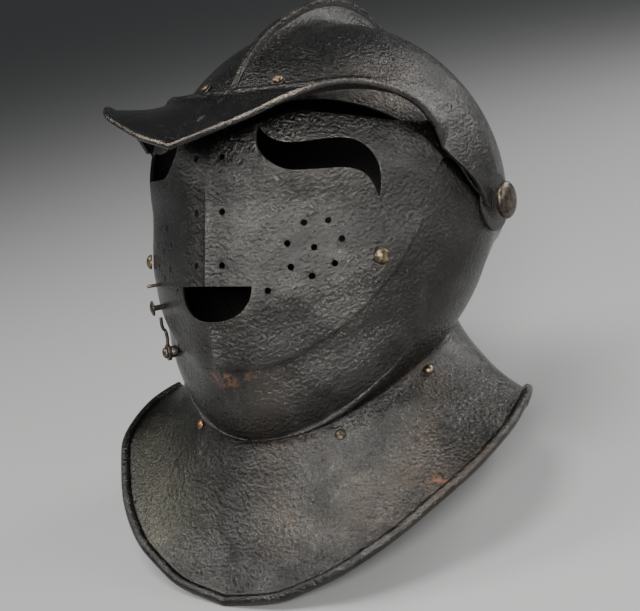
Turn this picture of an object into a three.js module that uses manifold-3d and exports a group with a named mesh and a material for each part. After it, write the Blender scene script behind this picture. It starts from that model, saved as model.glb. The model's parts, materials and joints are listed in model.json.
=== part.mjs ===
// Closed helmet with a pointed peak, a face-shaped visor, a bevor and neck plates.
// Lengths are millimetres. The plates are laid out in the attitude in which the helmet is worn:
// the origin lies midway between the two side pivots, X points to the wearer's left, Y to the back
// and Z up. At the end the whole helmet is tipped back until it stands on its own neck plates.

import * as THREE from 'three';
import { mergeVertices } from 'three/addons/utils/BufferGeometryUtils.js';
import Module from 'manifold-3d';

const wasm = await Module();
wasm.setup();

// Driving sizes
const plate = 1.5; // thickness of every plate
const layerGap = 0.8; // running clearance between nested plates
const fitGap = 0.35; // clearance between pieces that are seated on each other
const skullHalfWidth = 95; // pivot axis, from the middle plane to the skull's outer face
const browRadius = 111; // pivot to the middle of the brow
const noseRadius = 120; // pivot to the nose ridge of the visor
const combHeight = 20; // greatest height of the comb over the bowl
const combEdge = 1.8; // half thickness of the comb at its edge
const combFoot = 9; // half width of the comb where it leaves the bowl
const combPass = 0.6; // clearance of the raised peak over the comb
const peakReach = 147; // pivot to the tip of the peak
const peakRim = 1.8; // radius of the rolled edge of the peak
const earRadius = 16; // discs of the plates round the pivots
const pivotPin = 3.4; // radius of the pivot shanks
const pivotHead = 10; // radius of the domed pivot heads
const pivotRise = 4.8; // height of the dome
const pivotButton = 8; // radius of the pivots' inner ends
const pivotWasher = 8.2;
const washerRise = 1.1;
const neckHalfWidth = 74;
const neckHalfDepth = 74;
const neckCentre = 10; // how far the middle of the neck lies before the pivots
const neckDrop = 66; // how far the neck lies below the pivots
const neckSlope = 0.535; // the neck falls towards the throat
const neckSag = 0.00194; // and falls faster the nearer it comes
const collar = 7; // how far the neck plates reach up inside the bevor and the skull
const collarGap = 0.9; // clearance round the collar
const gorgetHalfWidth = 118;
const gorgetDrop = 203; // pivots to the lowest edge of the front neck plate
const gorgetRim = 2.9; // radius of the rolled edge of the neck plates
const gorgetLap = 8; // degrees that the front neck plate laps over the rear one
const restTilt = 21.5; // degrees that the helmet leans back when it stands on its neck plates
const footFlat = 1.1; // how much the rolled edges are flattened where they stand
const breathHole = 1.65; // radius of the holes in the visor
const rosetteRadius = 13.8;
const rosetteCount = 7;

// Rivets: radius and height of the head, radius of the shank, height of the button inside
const browRivet = { head: 2.6, rise: 1.5, shank: 1.2, tail: 0.9 };
const browWasher = { radius: 3.6, height: 0.7 };
const cheekRivet = { head: 4.1, rise: 3, shank: 1.6, tail: 0.9 };
const neckRivet = { head: 3, rise: 1.5, shank: 1.9, tail: 0.9 };
const sideRivet = { head: 2.7, rise: 2.4, shank: 1.4, tail: 0.9 };
const latchRivet = { head: 3.2, rise: 2.2, shank: 1.4, tail: 0.9 };
const neckRivetPlaces = [
  { name: 'neck_rivet_left', turn: 38, part: 0.1, rivet: neckRivet },
  { name: 'neck_rivet_right', turn: -38, part: 0.1, rivet: neckRivet },
];
const sideRivetPlace = { name: 'neck_rivet_side', turn: 77, part: 0.12, rivet: sideRivet };
const rivetBore = 1.25; // bore of the hollow neck rivets
const latchStud = { ring: 4.1, thickness: 1.4, post: 1.5, rise: 4.6 };
const latchPin = { radius: 0.9, height: 6 };
const latchArm = { thickness: 1.8, eye: 4.4, lift: 4.2, spacer: 3.2 };

// Spacing of the nested plates
const step = plate + layerGap;
const layers = { skull: 0, bevor: 1, visor: 2, peak: 3 };
const halfWidthOf = (name) => skullHalfWidth + layers[name] * step;
const outermost = halfWidthOf('peak');
const pinBore = pivotPin + fitGap;
const flatness = 0.05; // facets that bend less than this are joined
const rad = (degrees) => (degrees * Math.PI) / 180;
const deg = (radians) => (radians * 180) / Math.PI;
const mix = (a, b, t) => a + (b - a) * t;
const clamp01 = (t) => Math.min(1, Math.max(0, t));
const smooth = (t) => clamp01(t) ** 2 * (3 - 2 * clamp01(t));
const V = (x, y, z) => new THREE.Vector3(x, y, z);

// Colours
const steel = (color, roughness) => new THREE.MeshStandardMaterial({ color, roughness, metalness: 0.85 });
const blackSteel = steel(0x35322e, 0.42);
const wornSteel = steel(0x4a443d, 0.4);
const oldBrass = steel(0x8a7446, 0.38);
const oldCopper = steel(0x7a5236, 0.4);

// A smooth curve through the rows of a table: reads column "value" at a place in column "at"
function curveOf(rows, at, value) {
  const slope = rows.map((row, i) => {
    const before = rows[Math.max(0, i - 1)];
    const after = rows[Math.min(rows.length - 1, i + 1)];
    return (after[value] - before[value]) / (after[at] - before[at]);
  });
  return (place) => {
    let i = 0;
    while (i < rows.length - 2 && place > rows[i + 1][at]) i += 1;
    const width = rows[i + 1][at] - rows[i][at];
    const t = clamp01((place - rows[i][at]) / width);
    const ease = t * t * (3 - 2 * t);
    const leave = t * (1 - t) ** 2;
    const arrive = t * t * (1 - t);
    return (
      mix(rows[i][value], rows[i + 1][value], ease) + width * (slope[i] * leave - slope[i + 1] * arrive)
    );
  };
}

// A point in polar form about the pivot axis: the angle is 0 straight ahead and 90 straight up
function polar(x, radius, angle) {
  return V(x, -radius * Math.cos(rad(angle)), radius * Math.sin(rad(angle)));
}

// Skull in the middle plane: the bowl as a share of the brow radius, the comb of its full height
const skullProfile = [
  { angle: 20, bowl: 1.0, comb: 0 },
  { angle: 29, bowl: 0.998, comb: 0.06 },
  { angle: 40, bowl: 0.975, comb: 0.25 },
  { angle: 52, bowl: 0.958, comb: 0.35 },
  { angle: 64, bowl: 0.945, comb: 0.42 },
  { angle: 78, bowl: 0.934, comb: 0.64 },
  { angle: 92, bowl: 0.925, comb: 0.86 },
  { angle: 108, bowl: 0.912, comb: 1.0 },
  { angle: 126, bowl: 0.9, comb: 0.97 },
  { angle: 146, bowl: 0.885, comb: 0.78 },
  { angle: 166, bowl: 0.862, comb: 0.48 },
  { angle: 186, bowl: 0.825, comb: 0.2 },
  { angle: 202, bowl: 0.745, comb: 0.03 },
  { angle: 214, bowl: 0.67, comb: 0 },
];
const bowlShare = curveOf(skullProfile, 'angle', 'bowl');
const combShare = curveOf(skullProfile, 'angle', 'comb');
const combRadius = (angle) => browRadius * bowlShare(angle) + combHeight * combShare(angle);

// Visor and bevor in the middle plane, as shares of the nose radius; pinch draws the cheeks in
const faceProfile = [
  { angle: -60, face: 1.26, pinch: 0 },
  { angle: -50, face: 1.24, pinch: 0.45 },
  { angle: -44, face: 1.212, pinch: 0.85 },
  { angle: -38, face: 1.182, pinch: 1 },
  { angle: -32, face: 1.135, pinch: 1 },
  { angle: -26, face: 1.105, pinch: 1 },
  { angle: -20, face: 1.064, pinch: 1 },
  { angle: -12, face: 1.02, pinch: 1 },
  { angle: -4, face: 1.0, pinch: 0.95 },
  { angle: 4, face: 0.998, pinch: 0.55 },
  { angle: 11, face: 0.994, pinch: 0.15 },
  { angle: 22, face: 0.985, pinch: 0 },
  { angle: 70, face: 0.985, pinch: 0 },
];
const faceShare = curveOf(faceProfile, 'angle', 'face');
const pinchShare = curveOf(faceProfile, 'angle', 'pinch');
const pinchDepth = 0.08; // as a share of the radius
const pinchBreadth = 0.95; // as a share of the half width

// The neck is a ring that slopes down to the throat: turn 0 is the throat, 180 the nape
function neckPoint(turn, inset = 0) {
  const y = -neckCentre - (neckHalfDepth - inset) * Math.cos(rad(turn));
  const x = (neckHalfWidth - inset) * Math.sin(rad(turn));
  return V(x, y, -neckDrop + neckSlope * y - neckSag * y * y);
}
const neckAngle = (turn) => deg(Math.atan2(neckPoint(turn).z, -neckPoint(turn).y));

// Turn at which the neck passes a given angle about the pivots
function neckTurnAt(angle) {
  let near = 0;
  let far = 180;
  for (let i = 0; i < 40; i += 1) {
    const middle = (near + far) / 2;
    if (neckAngle(middle) > angle) near = middle;
    else far = middle;
  }
  return (near + far) / 2;
}

// One curve of a fan, from its start on the middle plane or the neck to the pivot
function middleRow(angle, radius, pinch = 0) {
  return { angle, radius, pinch, startX: 0, lean: 0 };
}

function neckRow(turn, inset) {
  const point = neckPoint(turn, inset);
  return {
    angle: deg(Math.atan2(point.z, -point.y)) + (turn > 90 ? 360 : 0),
    radius: Math.hypot(point.y, point.z),
    pinch: turn < 90 ? pinchShare(neckAngle(0)) * (1 - smooth(turn / 60)) : 0,
    startX: point.x,
    lean: Math.sin(rad(turn)),
  };
}

function fanPoint(row, share, halfWidth) {
  const turn = rad(90 * share);
  const across = Math.sin(turn) ** (1 + 0.8 * row.lean);
  const draw = Math.max(0, Math.sin(Math.PI * Math.min(1, across / pinchBreadth))) ** 1.3;
  const radius = row.radius * (Math.cos(turn) - pinchDepth * row.pinch * draw);
  return polar(mix(row.startX, halfWidth, across), radius, row.angle);
}

// A closed plate between an outer grid of points and the same grid moved inwards
function closedPlate(outer, inner) {
  const rows = outer.length;
  const columns = outer[0].length;
  const positions = [outer, inner].flat(2).flatMap((point) => point.toArray());
  const faces = [];
  const at = (side, i, j) => (side * rows + i) * columns + j;
  const quad = (a, b, c, d) => faces.push(a, b, c, a, c, d);
  for (let i = 0; i < rows - 1; i += 1) {
    for (let j = 0; j < columns - 1; j += 1) {
      quad(at(0, i, j), at(0, i, j + 1), at(0, i + 1, j + 1), at(0, i + 1, j));
      quad(at(1, i, j), at(1, i + 1, j), at(1, i + 1, j + 1), at(1, i, j + 1));
    }
    const last = columns - 1;
    quad(at(0, i, 0), at(0, i + 1, 0), at(1, i + 1, 0), at(1, i, 0));
    quad(at(0, i, last), at(1, i, last), at(1, i + 1, last), at(0, i + 1, last));
  }
  for (let j = 0; j < columns - 1; j += 1) {
    const top = rows - 1;
    quad(at(0, 0, j), at(1, 0, j), at(1, 0, j + 1), at(0, 0, j + 1));
    quad(at(0, top, j), at(0, top, j + 1), at(1, top, j + 1), at(1, top, j));
  }
  const geometry = new THREE.BufferGeometry();
  geometry.setAttribute('position', new THREE.Float32BufferAttribute(positions, 3));
  geometry.setIndex(faces);
  return geometry;
}

// Outward direction at each point of a grid; on the middle plane it has no sideways part
function gridNormals(grid) {
  return grid.map((line, i) =>
    line.map((point, j) => {
      const above = grid[Math.min(grid.length - 1, i + 1)][j];
      const below = grid[Math.max(0, i - 1)][j];
      const right = line[Math.min(line.length - 1, j + 1)];
      const left = line[Math.max(0, j - 1)];
      const normal = right.clone().sub(left).cross(above.clone().sub(below));
      if (Math.abs(point.x) < 1e-6) normal.x = 0;
      return normal.normalize();
    }),
  );
}

function moved(grid, distance) {
  const normals = gridNormals(grid);
  return grid.map((line, i) => line.map((p, j) => p.clone().addScaledVector(normals[i][j], distance)));
}

// A closed body from a geometry: seams are joined, flat corners dropped and the faces turned outwards
function solid(geometry) {
  const bare = new THREE.BufferGeometry();
  bare.setAttribute('position', geometry.attributes.position.clone());
  if (geometry.index) bare.setIndex(geometry.index.clone());
  const merged = mergeVertices(bare, 1e-4);
  const corner = (index) => V(0, 0, 0).fromBufferAttribute(merged.attributes.position, index);
  const corners = [];
  let volume = 0;
  for (let i = 0; i < merged.index.count; i += 3) {
    const [a, b, c] = [0, 1, 2].map((k) => merged.index.getX(i + k));
    if (a === b || b === c || c === a) continue;
    corners.push(a, b, c);
    volume += corner(a).dot(corner(b).cross(corner(c)));
  }
  if (volume < 0) corners.reverse();
  const mesh = new wasm.Mesh({
    numProp: 3,
    vertProperties: new Float32Array(merged.attributes.position.array),
    triVerts: new Uint32Array(corners),
  });
  mesh.merge();
  return new wasm.Manifold(mesh);
}

// The left half of a plate, closed, joined to its mirror image
function bothHalves(outer, inner) {
  const half = solid(closedPlate(outer, inner));
  return half.add(half.mirror([1, 0, 0]));
}

// A round bar between two points
function bar(from, to, radius, sides = 16) {
  const way = to.clone().sub(from);
  const geometry = new THREE.CylinderGeometry(radius, radius, way.length(), sides);
  geometry.applyQuaternion(new THREE.Quaternion().setFromUnitVectors(V(0, 1, 0), way.clone().normalize()));
  const middle = from.clone().add(to).multiplyScalar(0.5);
  geometry.translate(middle.x, middle.y, middle.z);
  return solid(geometry);
}

// A body of revolution that stands on a point; its profile is [radius, height] pairs
function turned(profile, foot, direction, sides) {
  const geometry = new THREE.LatheGeometry(profile.map(([r, h]) => new THREE.Vector2(r, h)), sides);
  geometry.applyQuaternion(new THREE.Quaternion().setFromUnitVectors(V(0, 1, 0), direction));
  geometry.translate(foot.x, foot.y, foot.z);
  return solid(geometry);
}

function dome(radius, rise, low, arcs = 4) {
  const profile = [];
  for (let i = 0; i <= arcs; i += 1) {
    const turn = rad((90 * i) / arcs);
    profile.push([i === arcs ? 0 : radius * Math.cos(turn), low + rise * Math.sin(turn)]);
  }
  return profile;
}

// A tube along a smooth curve
function tube(points, radius, steps, sides = 8) {
  const ring = new THREE.Shape();
  ring.absarc(0, 0, radius, 0, 2 * Math.PI, false);
  const path = new THREE.CatmullRomCurve3(points);
  const geometry = new THREE.ExtrudeGeometry(ring, { steps, curveSegments: sides / 2, extrudePath: path });
  return solid(geometry);
}

function meshOf(name, body, material) {
  const mesh = body.simplify(flatness).getMesh();
  const geometry = new THREE.BufferGeometry();
  geometry.setAttribute('position', new THREE.BufferAttribute(new Float32Array(mesh.vertProperties), 3));
  geometry.setIndex(Array.from(mesh.triVerts));
  geometry.computeVertexNormals();
  const piece = new THREE.Mesh(geometry, material);
  piece.name = name;
  return piece;
}

const helmet = new THREE.Group();
const pieces = [];
function addPiece(name, body, material) {
  pieces.push({ name, body, material });
}

// A plate with its discs round the pivots, bored for the pivot pins
function withEars(fan, name) {
  const height = (radius, inset) =>
    (halfWidthOf(name) - inset) * Math.sqrt(1 - (radius / (browRadius - inset)) ** 2);
  const radii = [0, 0.6, 1].map((part) => part * earRadius);
  const inside = radii.map((radius) => [radius, height(radius, plate)]);
  const outside = radii.toReversed().map((radius) => [radius, height(radius, 0)]);
  let body = fan;
  for (const side of [-1, 1]) {
    body = body.add(turned([...inside, ...outside], V(0, 0, 0), V(side, 0, 0), 20));
    const bore = bar(V(side * skullHalfWidth * 0.8, 0, 0), V(side * skullHalfWidth * 1.2, 0, 0), pinBore);
    body = body.subtract(bore);
  }
  return body;
}

// Angles at which the skull ends: along the brow, and down the jaw where it meets the bevor
const browEdge = [
  { share: 0, angle: 25.5 },
  { share: 0.2, angle: 26 },
  { share: 0.35, angle: 29.5 },
  { share: 0.5, angle: 32 },
  { share: 0.65, angle: 33 },
  { share: 0.8, angle: 30 },
  { share: 1, angle: 24 },
];
const browAngle = curveOf(browEdge, 'share', 'angle');
const jawAngle = -93;
const jawGap = 0.6; // degrees between the joint's middle and each plate

// Skull: a bowl with a hollow comb, closed down to the neck
function skullGrid(inset) {
  const halfWidth = skullHalfWidth - inset;
  const shares = [0.14, 0.22, 0.31, 0.41, 0.51, 0.61, 0.71, 0.8, 0.87, 0.93];
  const footX = combFoot - inset * 0.5;
  const edgeX = combEdge - inset * 0.85;
  const rows = [0, 0.5].map((part) => ({ part }));
  for (const angle of [37, 46, 56, 67, 79, 92, 106, 121, 137, 154, 171, 187, 201]) rows.push({ angle });
  const skullNeck = [180, 166, 152, 139, 127, 116, 107];
  for (const turn of [...skullNeck, neckTurnAt(jawAngle - jawGap)]) rows.push({ turn });
  const lineAt = (row, share) => {
    if (row.turn !== undefined) return neckRow(row.turn, step + inset);
    const angle = row.angle ?? mix(browAngle(share), 37, row.part);
    return middleRow(angle, browRadius * bowlShare(angle) - inset);
  };
  return rows.map((row) => {
    const flanks = [0, edgeX, mix(edgeX, footX, 0.35), footX].map((x, i) => {
      const line = lineAt(row, 0);
      const high = row.turn === undefined ? combHeight * combShare(line.angle) - inset * 1.3 : 0;
      const rise = Math.max(0, high) * [1, 1, 0.42, 0][i];
      const round = Math.sqrt(1 - (x / halfWidth) ** 2);
      return polar(line.startX + x * (1 - line.lean), line.radius * round + rise, line.angle);
    });
    return [...flanks, ...shares.map((share) => fanPoint(lineAt(row, share), share, halfWidth))];
  });
}

// Visor edges, as angles about the pivots at shares of the way from the ridge to the pivot
const visorEdges = [
  { share: 0, low: -38, high: 20.5 },
  { share: 0.08, low: -39.4, high: 20.5 },
  { share: 0.17, low: -40.6, high: 21 },
  { share: 0.26, low: -40.4, high: 21.5 },
  { share: 0.41, low: -37.4, high: 23.5 },
  { share: 0.57, low: -29.4, high: 29 },
  { share: 0.66, low: -16, high: 38 },
  { share: 0.7, low: -1, high: 46 },
  { share: 0.735, low: 23, high: 54 },
  { share: 0.8, low: 25, high: 62 },
  { share: 0.88, low: 12, high: 72 },
  { share: 0.94, low: 0, high: 80 },
];
const visorLow = curveOf(visorEdges, 'share', 'low');
const visorHigh = curveOf(visorEdges, 'share', 'high');

function visorPoint(share, angle, inset = 0) {
  const radius = noseRadius * faceShare(angle) - inset;
  return fanPoint(middleRow(angle, radius, pinchShare(angle)), share, halfWidthOf('visor') - inset);
}

function visorGrid(inset) {
  const parts = [0, 0.1, 0.2, 0.3, 0.4, 0.5, 0.6, 0.7, 0.8, 0.9, 1];
  const shares = [0, 0.05, 0.11, 0.18, 0.26, 0.34, 0.42, 0.5, 0.57, 0.63, 0.68, 0.71, 0.74, 0.79, 0.85, 0.93];
  return parts.map((part) =>
    shares.map((share) => visorPoint(share, mix(visorLow(share), visorHigh(share), part), inset)),
  );
}

// Place and outward direction on the visor, on either side of the ridge
function onVisor(share, angle, side = 1) {
  const point = visorPoint(share, angle);
  const along = visorPoint(share + 0.01, angle).sub(visorPoint(share - 0.01, angle));
  const up = visorPoint(share, angle + 1).sub(visorPoint(share, angle - 1));
  const normal = along.clone().cross(up).normalize();
  const right = along.normalize();
  for (const vector of [point, normal, right]) vector.x *= side;
  return { point, normal, right, up: up.normalize() };
}

function drill(body, place, radius, sides = 8) {
  const out = place.point.clone().addScaledVector(place.normal, 3 * plate);
  const into = place.point.clone().addScaledVector(place.normal, -4 * plate);
  return body.subtract(bar(out, into, radius, sides));
}

// Openings that are cut straight through from the front: outlines in X and Z
function frontCut(outline, nearest, farthest) {
  const shape = new THREE.Shape(outline.map(([x, z]) => new THREE.Vector2(x, z)));
  const geometry = new THREE.ExtrudeGeometry(shape, { depth: farthest - nearest, bevelEnabled: false });
  geometry.rotateX(Math.PI / 2);
  geometry.translate(0, -nearest, 0);
  return solid(geometry);
}

// Eye slit: an S from beside the nose to the temple, as shares of the half width of the visor
const eyeSlit = [
  { side: 0.243, height: 0.335 },
  { side: 0.262, height: 0.31 },
  { side: 0.305, height: 0.268 },
  { side: 0.365, height: 0.24 },
  { side: 0.44, height: 0.236 },
  { side: 0.52, height: 0.25 },
  { side: 0.6, height: 0.26 },
  { side: 0.665, height: 0.245 },
  { side: 0.715, height: 0.195 },
  { side: 0.744, height: 0.12 },
  { side: 0.746, height: 0.03 },
  { side: 0.733, height: -0.03 },
  { side: 0.72, height: 0.03 },
  { side: 0.695, height: 0.082 },
  { side: 0.655, height: 0.108 },
  { side: 0.6, height: 0.112 },
  { side: 0.49, height: 0.103 },
  { side: 0.39, height: 0.104 },
  { side: 0.325, height: 0.135 },
  { side: 0.27, height: 0.19 },
  { side: 0.245, height: 0.25 },
];
const mouthHalfWidth = 22;
const mouthTop = 46;
const mouthDepth = 17.5;

function eyeOutline(side) {
  return eyeSlit.map((row) => [side * row.side * halfWidthOf('visor'), row.height * halfWidthOf('visor')]);
}

function mouthOutline() {
  const outline = [];
  for (let i = 0; i <= 12; i += 1) {
    const turn = rad(180 + 15 * i);
    const x = mouthHalfWidth * Math.sign(Math.cos(turn)) * Math.abs(Math.cos(turn)) ** 0.8;
    outline.push([x, -mouthTop + mouthDepth * Math.sin(turn)]);
  }
  return outline;
}

const noseHoles = { share: 0.052, angles: [8.4, -4.7, -17] };
const mouthHole = { share: 0.186, angle: -24.2 };
const rosette = { share: 0.32, angle: -15.8, start: 112 };
const cheekPlace = { share: 0.53, angle: -22.5 };
const studPlace = { share: 0.4, angle: -33.5 };
const pinPlace = { share: 0.41, angle: -27 };

function visorBody() {
  let body = bothHalves(visorGrid(0), visorGrid(plate));
  body = withEars(body, 'visor');
  for (const side of [-1, 1]) {
    body = body.subtract(frontCut(eyeOutline(side), 0.45 * noseRadius, 1.3 * noseRadius));
    for (const angle of noseHoles.angles) body = drill(body, onVisor(noseHoles.share, angle, side), breathHole);
    body = drill(body, onVisor(mouthHole.share, mouthHole.angle, side), breathHole);
    const centre = onVisor(rosette.share, rosette.angle, side);
    body = drill(body, centre, breathHole);
    for (let i = 0; i < rosetteCount; i += 1) {
      const turn = rad(rosette.start + (360 * i) / rosetteCount);
      const point = centre.point.clone();
      point.addScaledVector(centre.right, rosetteRadius * Math.cos(turn));
      point.addScaledVector(centre.up, rosetteRadius * Math.sin(turn));
      body = drill(body, { point, normal: centre.normal }, breathHole);
    }
    body = drill(body, onVisor(cheekPlace.share, cheekPlace.angle, side), cheekRivet.shank + fitGap);
  }
  body = body.subtract(frontCut(mouthOutline(), 0.45 * noseRadius, 1.3 * noseRadius));
  body = drill(body, onVisor(studPlace.share, studPlace.angle, -1), latchStud.post + fitGap);
  return drill(body, onVisor(pinPlace.share, pinPlace.angle, -1), latchPin.radius + fitGap);
}

// Bevor: from the neck up under the visor, with arms to the pivots
const bevorTop = [
  { share: 0, angle: -33.5 },
  { share: 0.17, angle: -35 },
  { share: 0.41, angle: -31.5 },
  { share: 0.57, angle: -23 },
  { share: 0.66, angle: -8 },
  { share: 0.71, angle: 12 },
  { share: 0.76, angle: 33 },
  { share: 0.84, angle: 42 },
  { share: 0.93, angle: 48 },
];
const bevorHigh = curveOf(bevorTop, 'share', 'angle');

function bevorPoint(share, angle, inset = 0) {
  const below = step * smooth((angle - neckAngle(0)) / 14);
  const radius = noseRadius * faceShare(angle) - below - inset;
  return fanPoint(middleRow(angle, radius, pinchShare(angle)), share, halfWidthOf('bevor') - inset);
}

function bevorGrid(inset) {
  const shares = [0, 0.06, 0.13, 0.21, 0.3, 0.39, 0.48, 0.56, 0.63, 0.68, 0.73, 0.79, 0.86, 0.93];
  const halfWidth = halfWidthOf('bevor') - inset;
  const rear = neckTurnAt(jawAngle + jawGap);
  const neckTurns = [rear, 88, 76, 64, 52, 40, 27, 13];
  const rows = neckTurns.map((turn) => {
    const row = neckRow(turn, inset);
    if (row.angle > 90) row.angle -= 360;
    return shares.map((share) => fanPoint(row, share, halfWidth));
  });
  for (let i = 0; i <= 8; i += 1) {
    rows.push(shares.map((share) => bevorPoint(share, mix(neckAngle(0), bevorHigh(share), i / 8), inset)));
  }
  return rows;
}

const armPlace = { share: 0.36, angle: -45 };
function onBevor(share, angle, side = 1) {
  const point = bevorPoint(share, angle);
  const along = bevorPoint(share + 0.01, angle).sub(bevorPoint(share - 0.01, angle));
  const up = bevorPoint(share, angle + 1).sub(bevorPoint(share, angle - 1));
  const normal = along.clone().cross(up).normalize();
  for (const vector of [point, normal]) vector.x *= side;
  return { point, normal };
}

function bevorBody() {
  const body = withEars(bothHalves(bevorGrid(0), bevorGrid(plate)), 'bevor');
  return drill(body, onBevor(armPlace.share, armPlace.angle, -1), latchRivet.shank + fitGap, 12);
}

// Peak: arms over the visor, and a bill whose rolled rim dips at the tip and lifts beside it
const rootRadius = combRadius(60) + combPass + plate;
const peakStations = [
  { share: 0, root: 28, bend: 25.5, side: 0, reach: 1, rim: 7.8 },
  { share: 0.13, root: 28.6, bend: 26.2, side: 0.221, reach: 0.982, rim: 10.4 },
  { share: 0.25, root: 30.5, bend: 27.8, side: 0.41, reach: 0.946, rim: 13.7 },
  { share: 0.36, root: 35, bend: 30.8, side: 0.6, reach: 0.914, rim: 17.8 },
  { share: 0.46, root: 40.5, bend: 35, side: 0.758, reach: 0.835, rim: 23 },
  { share: 0.55, root: 47, bend: 39, side: 0.884, reach: 0.706, rim: 27.6 },
  { share: 0.62, root: 54, bend: 42, side: 0.958, reach: 0.559, rim: 31 },
  { share: 0.67, root: 59, bend: 43, side: 0.99, reach: 0.446, rim: 30.5 },
];
const peakArm = [
  { share: 0.71, root: 63, low: 26 },
  { share: 0.757, root: 69, low: 23.4 },
  { share: 0.805, root: 75, low: 21 },
  { share: 0.858, root: 82, low: 15 },
  { share: 0.9, root: 88, low: 3 },
  { share: 0.93, root: 94, low: -20 },
];

function peakPoint(share, angle, inset = 0) {
  const arms = noseRadius * faceShare(30) + step;
  const radius = mix(rootRadius, arms, smooth(share / 0.5)) - inset;
  return fanPoint(middleRow(angle, radius), share, outermost - inset);
}

const peakRimPoint = (row) => polar(row.side * skullHalfWidth, row.reach * peakReach, row.rim);

function peakGrid() {
  const rows = [];
  for (const row of peakStations) {
    const bend = peakPoint(row.share, row.bend);
    const line = [0, 0.5].map((part) => peakPoint(row.share, mix(row.root, row.bend, part)));
    for (const part of [0, 0.33, 0.66, 1]) line.push(bend.clone().lerp(peakRimPoint(row), part));
    rows.push(line);
  }
  for (const row of peakArm) {
    const parts = [0, 0.2, 0.4, 0.6, 0.8, 1];
    rows.push(parts.map((part) => peakPoint(row.share, mix(row.root, row.low, part))));
  }
  return rows;
}

function mirroredLine(points) {
  const others = points.slice(1).map((point) => V(-point.x, point.y, point.z));
  return [...others.reverse(), ...points];
}

function peakBody() {
  const outer = peakGrid();
  const roll = tube(mirroredLine(peakStations.map(peakRimPoint)), peakRim, 44);
  return withEars(bothHalves(outer, moved(outer, -plate)).add(roll), 'peak');
}

// Neck plates: from a collar inside the bevor and the skull down to a rolled rim
const gorgetReach = 104; // pivots to the foremost part of the rim
const gorgetRimTable = [
  { turn: 0, side: 0, back: -1, rise: 0 },
  { turn: 17.9, side: 0.254, back: -0.99, rise: 0.008 },
  { turn: 27.3, side: 0.394, back: -0.962, rise: 0.046 },
  { turn: 37.2, side: 0.547, back: -0.913, rise: 0.094 },
  { turn: 49.3, side: 0.72, back: -0.798, rise: 0.151 },
  { turn: 60.8, side: 0.864, back: -0.644, rise: 0.211 },
  { turn: 67.5, side: 0.941, back: -0.538, rise: 0.244 },
  { turn: 75, side: 0.983, back: -0.394, rise: 0.267 },
  { turn: 83.7, side: 1, back: -0.221, rise: 0.283 },
  { turn: 93.5, side: 0.975, back: -0.029, rise: 0.287 },
  { turn: 102.8, side: 0.932, back: 0.144, rise: 0.276 },
  { turn: 117.3, side: 0.822, back: 0.385, rise: 0.213 },
  { turn: 132, side: 0.678, back: 0.596, rise: 0.108 },
  { turn: 146, side: 0.49, back: 0.735, rise: 0.016 },
  { turn: 158, side: 0.31, back: 0.825, rise: 0 },
  { turn: 180, side: 0, back: 0.885, rise: 0 },
];
const rimSide = curveOf(gorgetRimTable, 'turn', 'side');
const rimBack = curveOf(gorgetRimTable, 'turn', 'back');
const rimRise = curveOf(gorgetRimTable, 'turn', 'rise');
const floorAt = (y) => -gorgetDrop + Math.tan(rad(restTilt)) * (y + gorgetReach);

function rimPoint(turn) {
  const around = Math.abs(turn);
  const y = rimBack(around) * gorgetReach;
  return V(Math.sign(turn) * rimSide(around) * gorgetHalfWidth, y, floorAt(y) + rimRise(around) * gorgetDrop);
}

// The plate's outer face: part runs from -1 at the top of the collar over 0 at the neck to 1 at the rim
function gorgetPoint(turn, part) {
  const neck = neckPoint(turn, plate + collarGap);
  neck.z -= plate;
  if (part <= 0) return neck.add(V(0, 0, -part * collar));
  const rim = rimPoint(turn);
  const out = part ** 1.25;
  const down = mix(part, 1 - (1 - part) ** 1.6, 0.5);
  return V(mix(neck.x, rim.x, out), mix(neck.y, rim.y, out), mix(neck.z, rim.z, down));
}

const gorgetParts = [-1, 0, 0.1, 0.25, 0.43, 0.62, 0.81, 1];
const gorgetSeam = 93; // the front plate ends at this turn

function gorgetGrid(turns, last) {
  return turns.map((turn) => gorgetParts.map((part) => gorgetPoint(turn, Math.min(part, last(turn)))));
}

// The rear plate runs one step deeper at the neck and wherever the front plate laps over it
function gorgetSunk(grid, turns) {
  const normals = gridNormals(grid);
  return grid.map((line, i) =>
    line.map((point, j) => {
      const lapped = 1 - smooth((Math.abs(turns[i]) - gorgetSeam - 3) / 14);
      const deep = Math.max(lapped, 1 - smooth(gorgetParts[j] / 0.5));
      return point.clone().addScaledVector(normals[i][j], step * deep * gorgetInward);
    }),
  );
}

const spaced = (from, to, count) => Array.from({ length: count + 1 }, (_, i) => mix(from, to, i / count));
const gorgetInward = -1;

// What lies under the floor on which the helmet stands is cut away
function standing(body) {
  const size = 6 * gorgetHalfWidth;
  const block = new THREE.BoxGeometry(size, size, size);
  block.translate(0, 0, -size / 2 - gorgetRim + footFlat);
  block.rotateX(rad(restTilt));
  block.translate(0, -gorgetReach, -gorgetDrop);
  return body.subtract(solid(block));
}

function gorgetFrontBody() {
  const grid = gorgetGrid(spaced(-gorgetSeam, gorgetSeam, 26), () => 1);
  const roll = tube(spaced(-gorgetSeam, gorgetSeam, 30).map(rimPoint), gorgetRim, 44);
  let body = solid(closedPlate(grid, moved(grid, gorgetInward * plate))).add(roll);
  for (const place of [...neckRivetPlaces, sideRivetPlace]) {
    body = drill(body, onGorget(place.turn, place.part), place.rivet.shank + fitGap, 12);
  }
  return standing(body);
}

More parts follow.
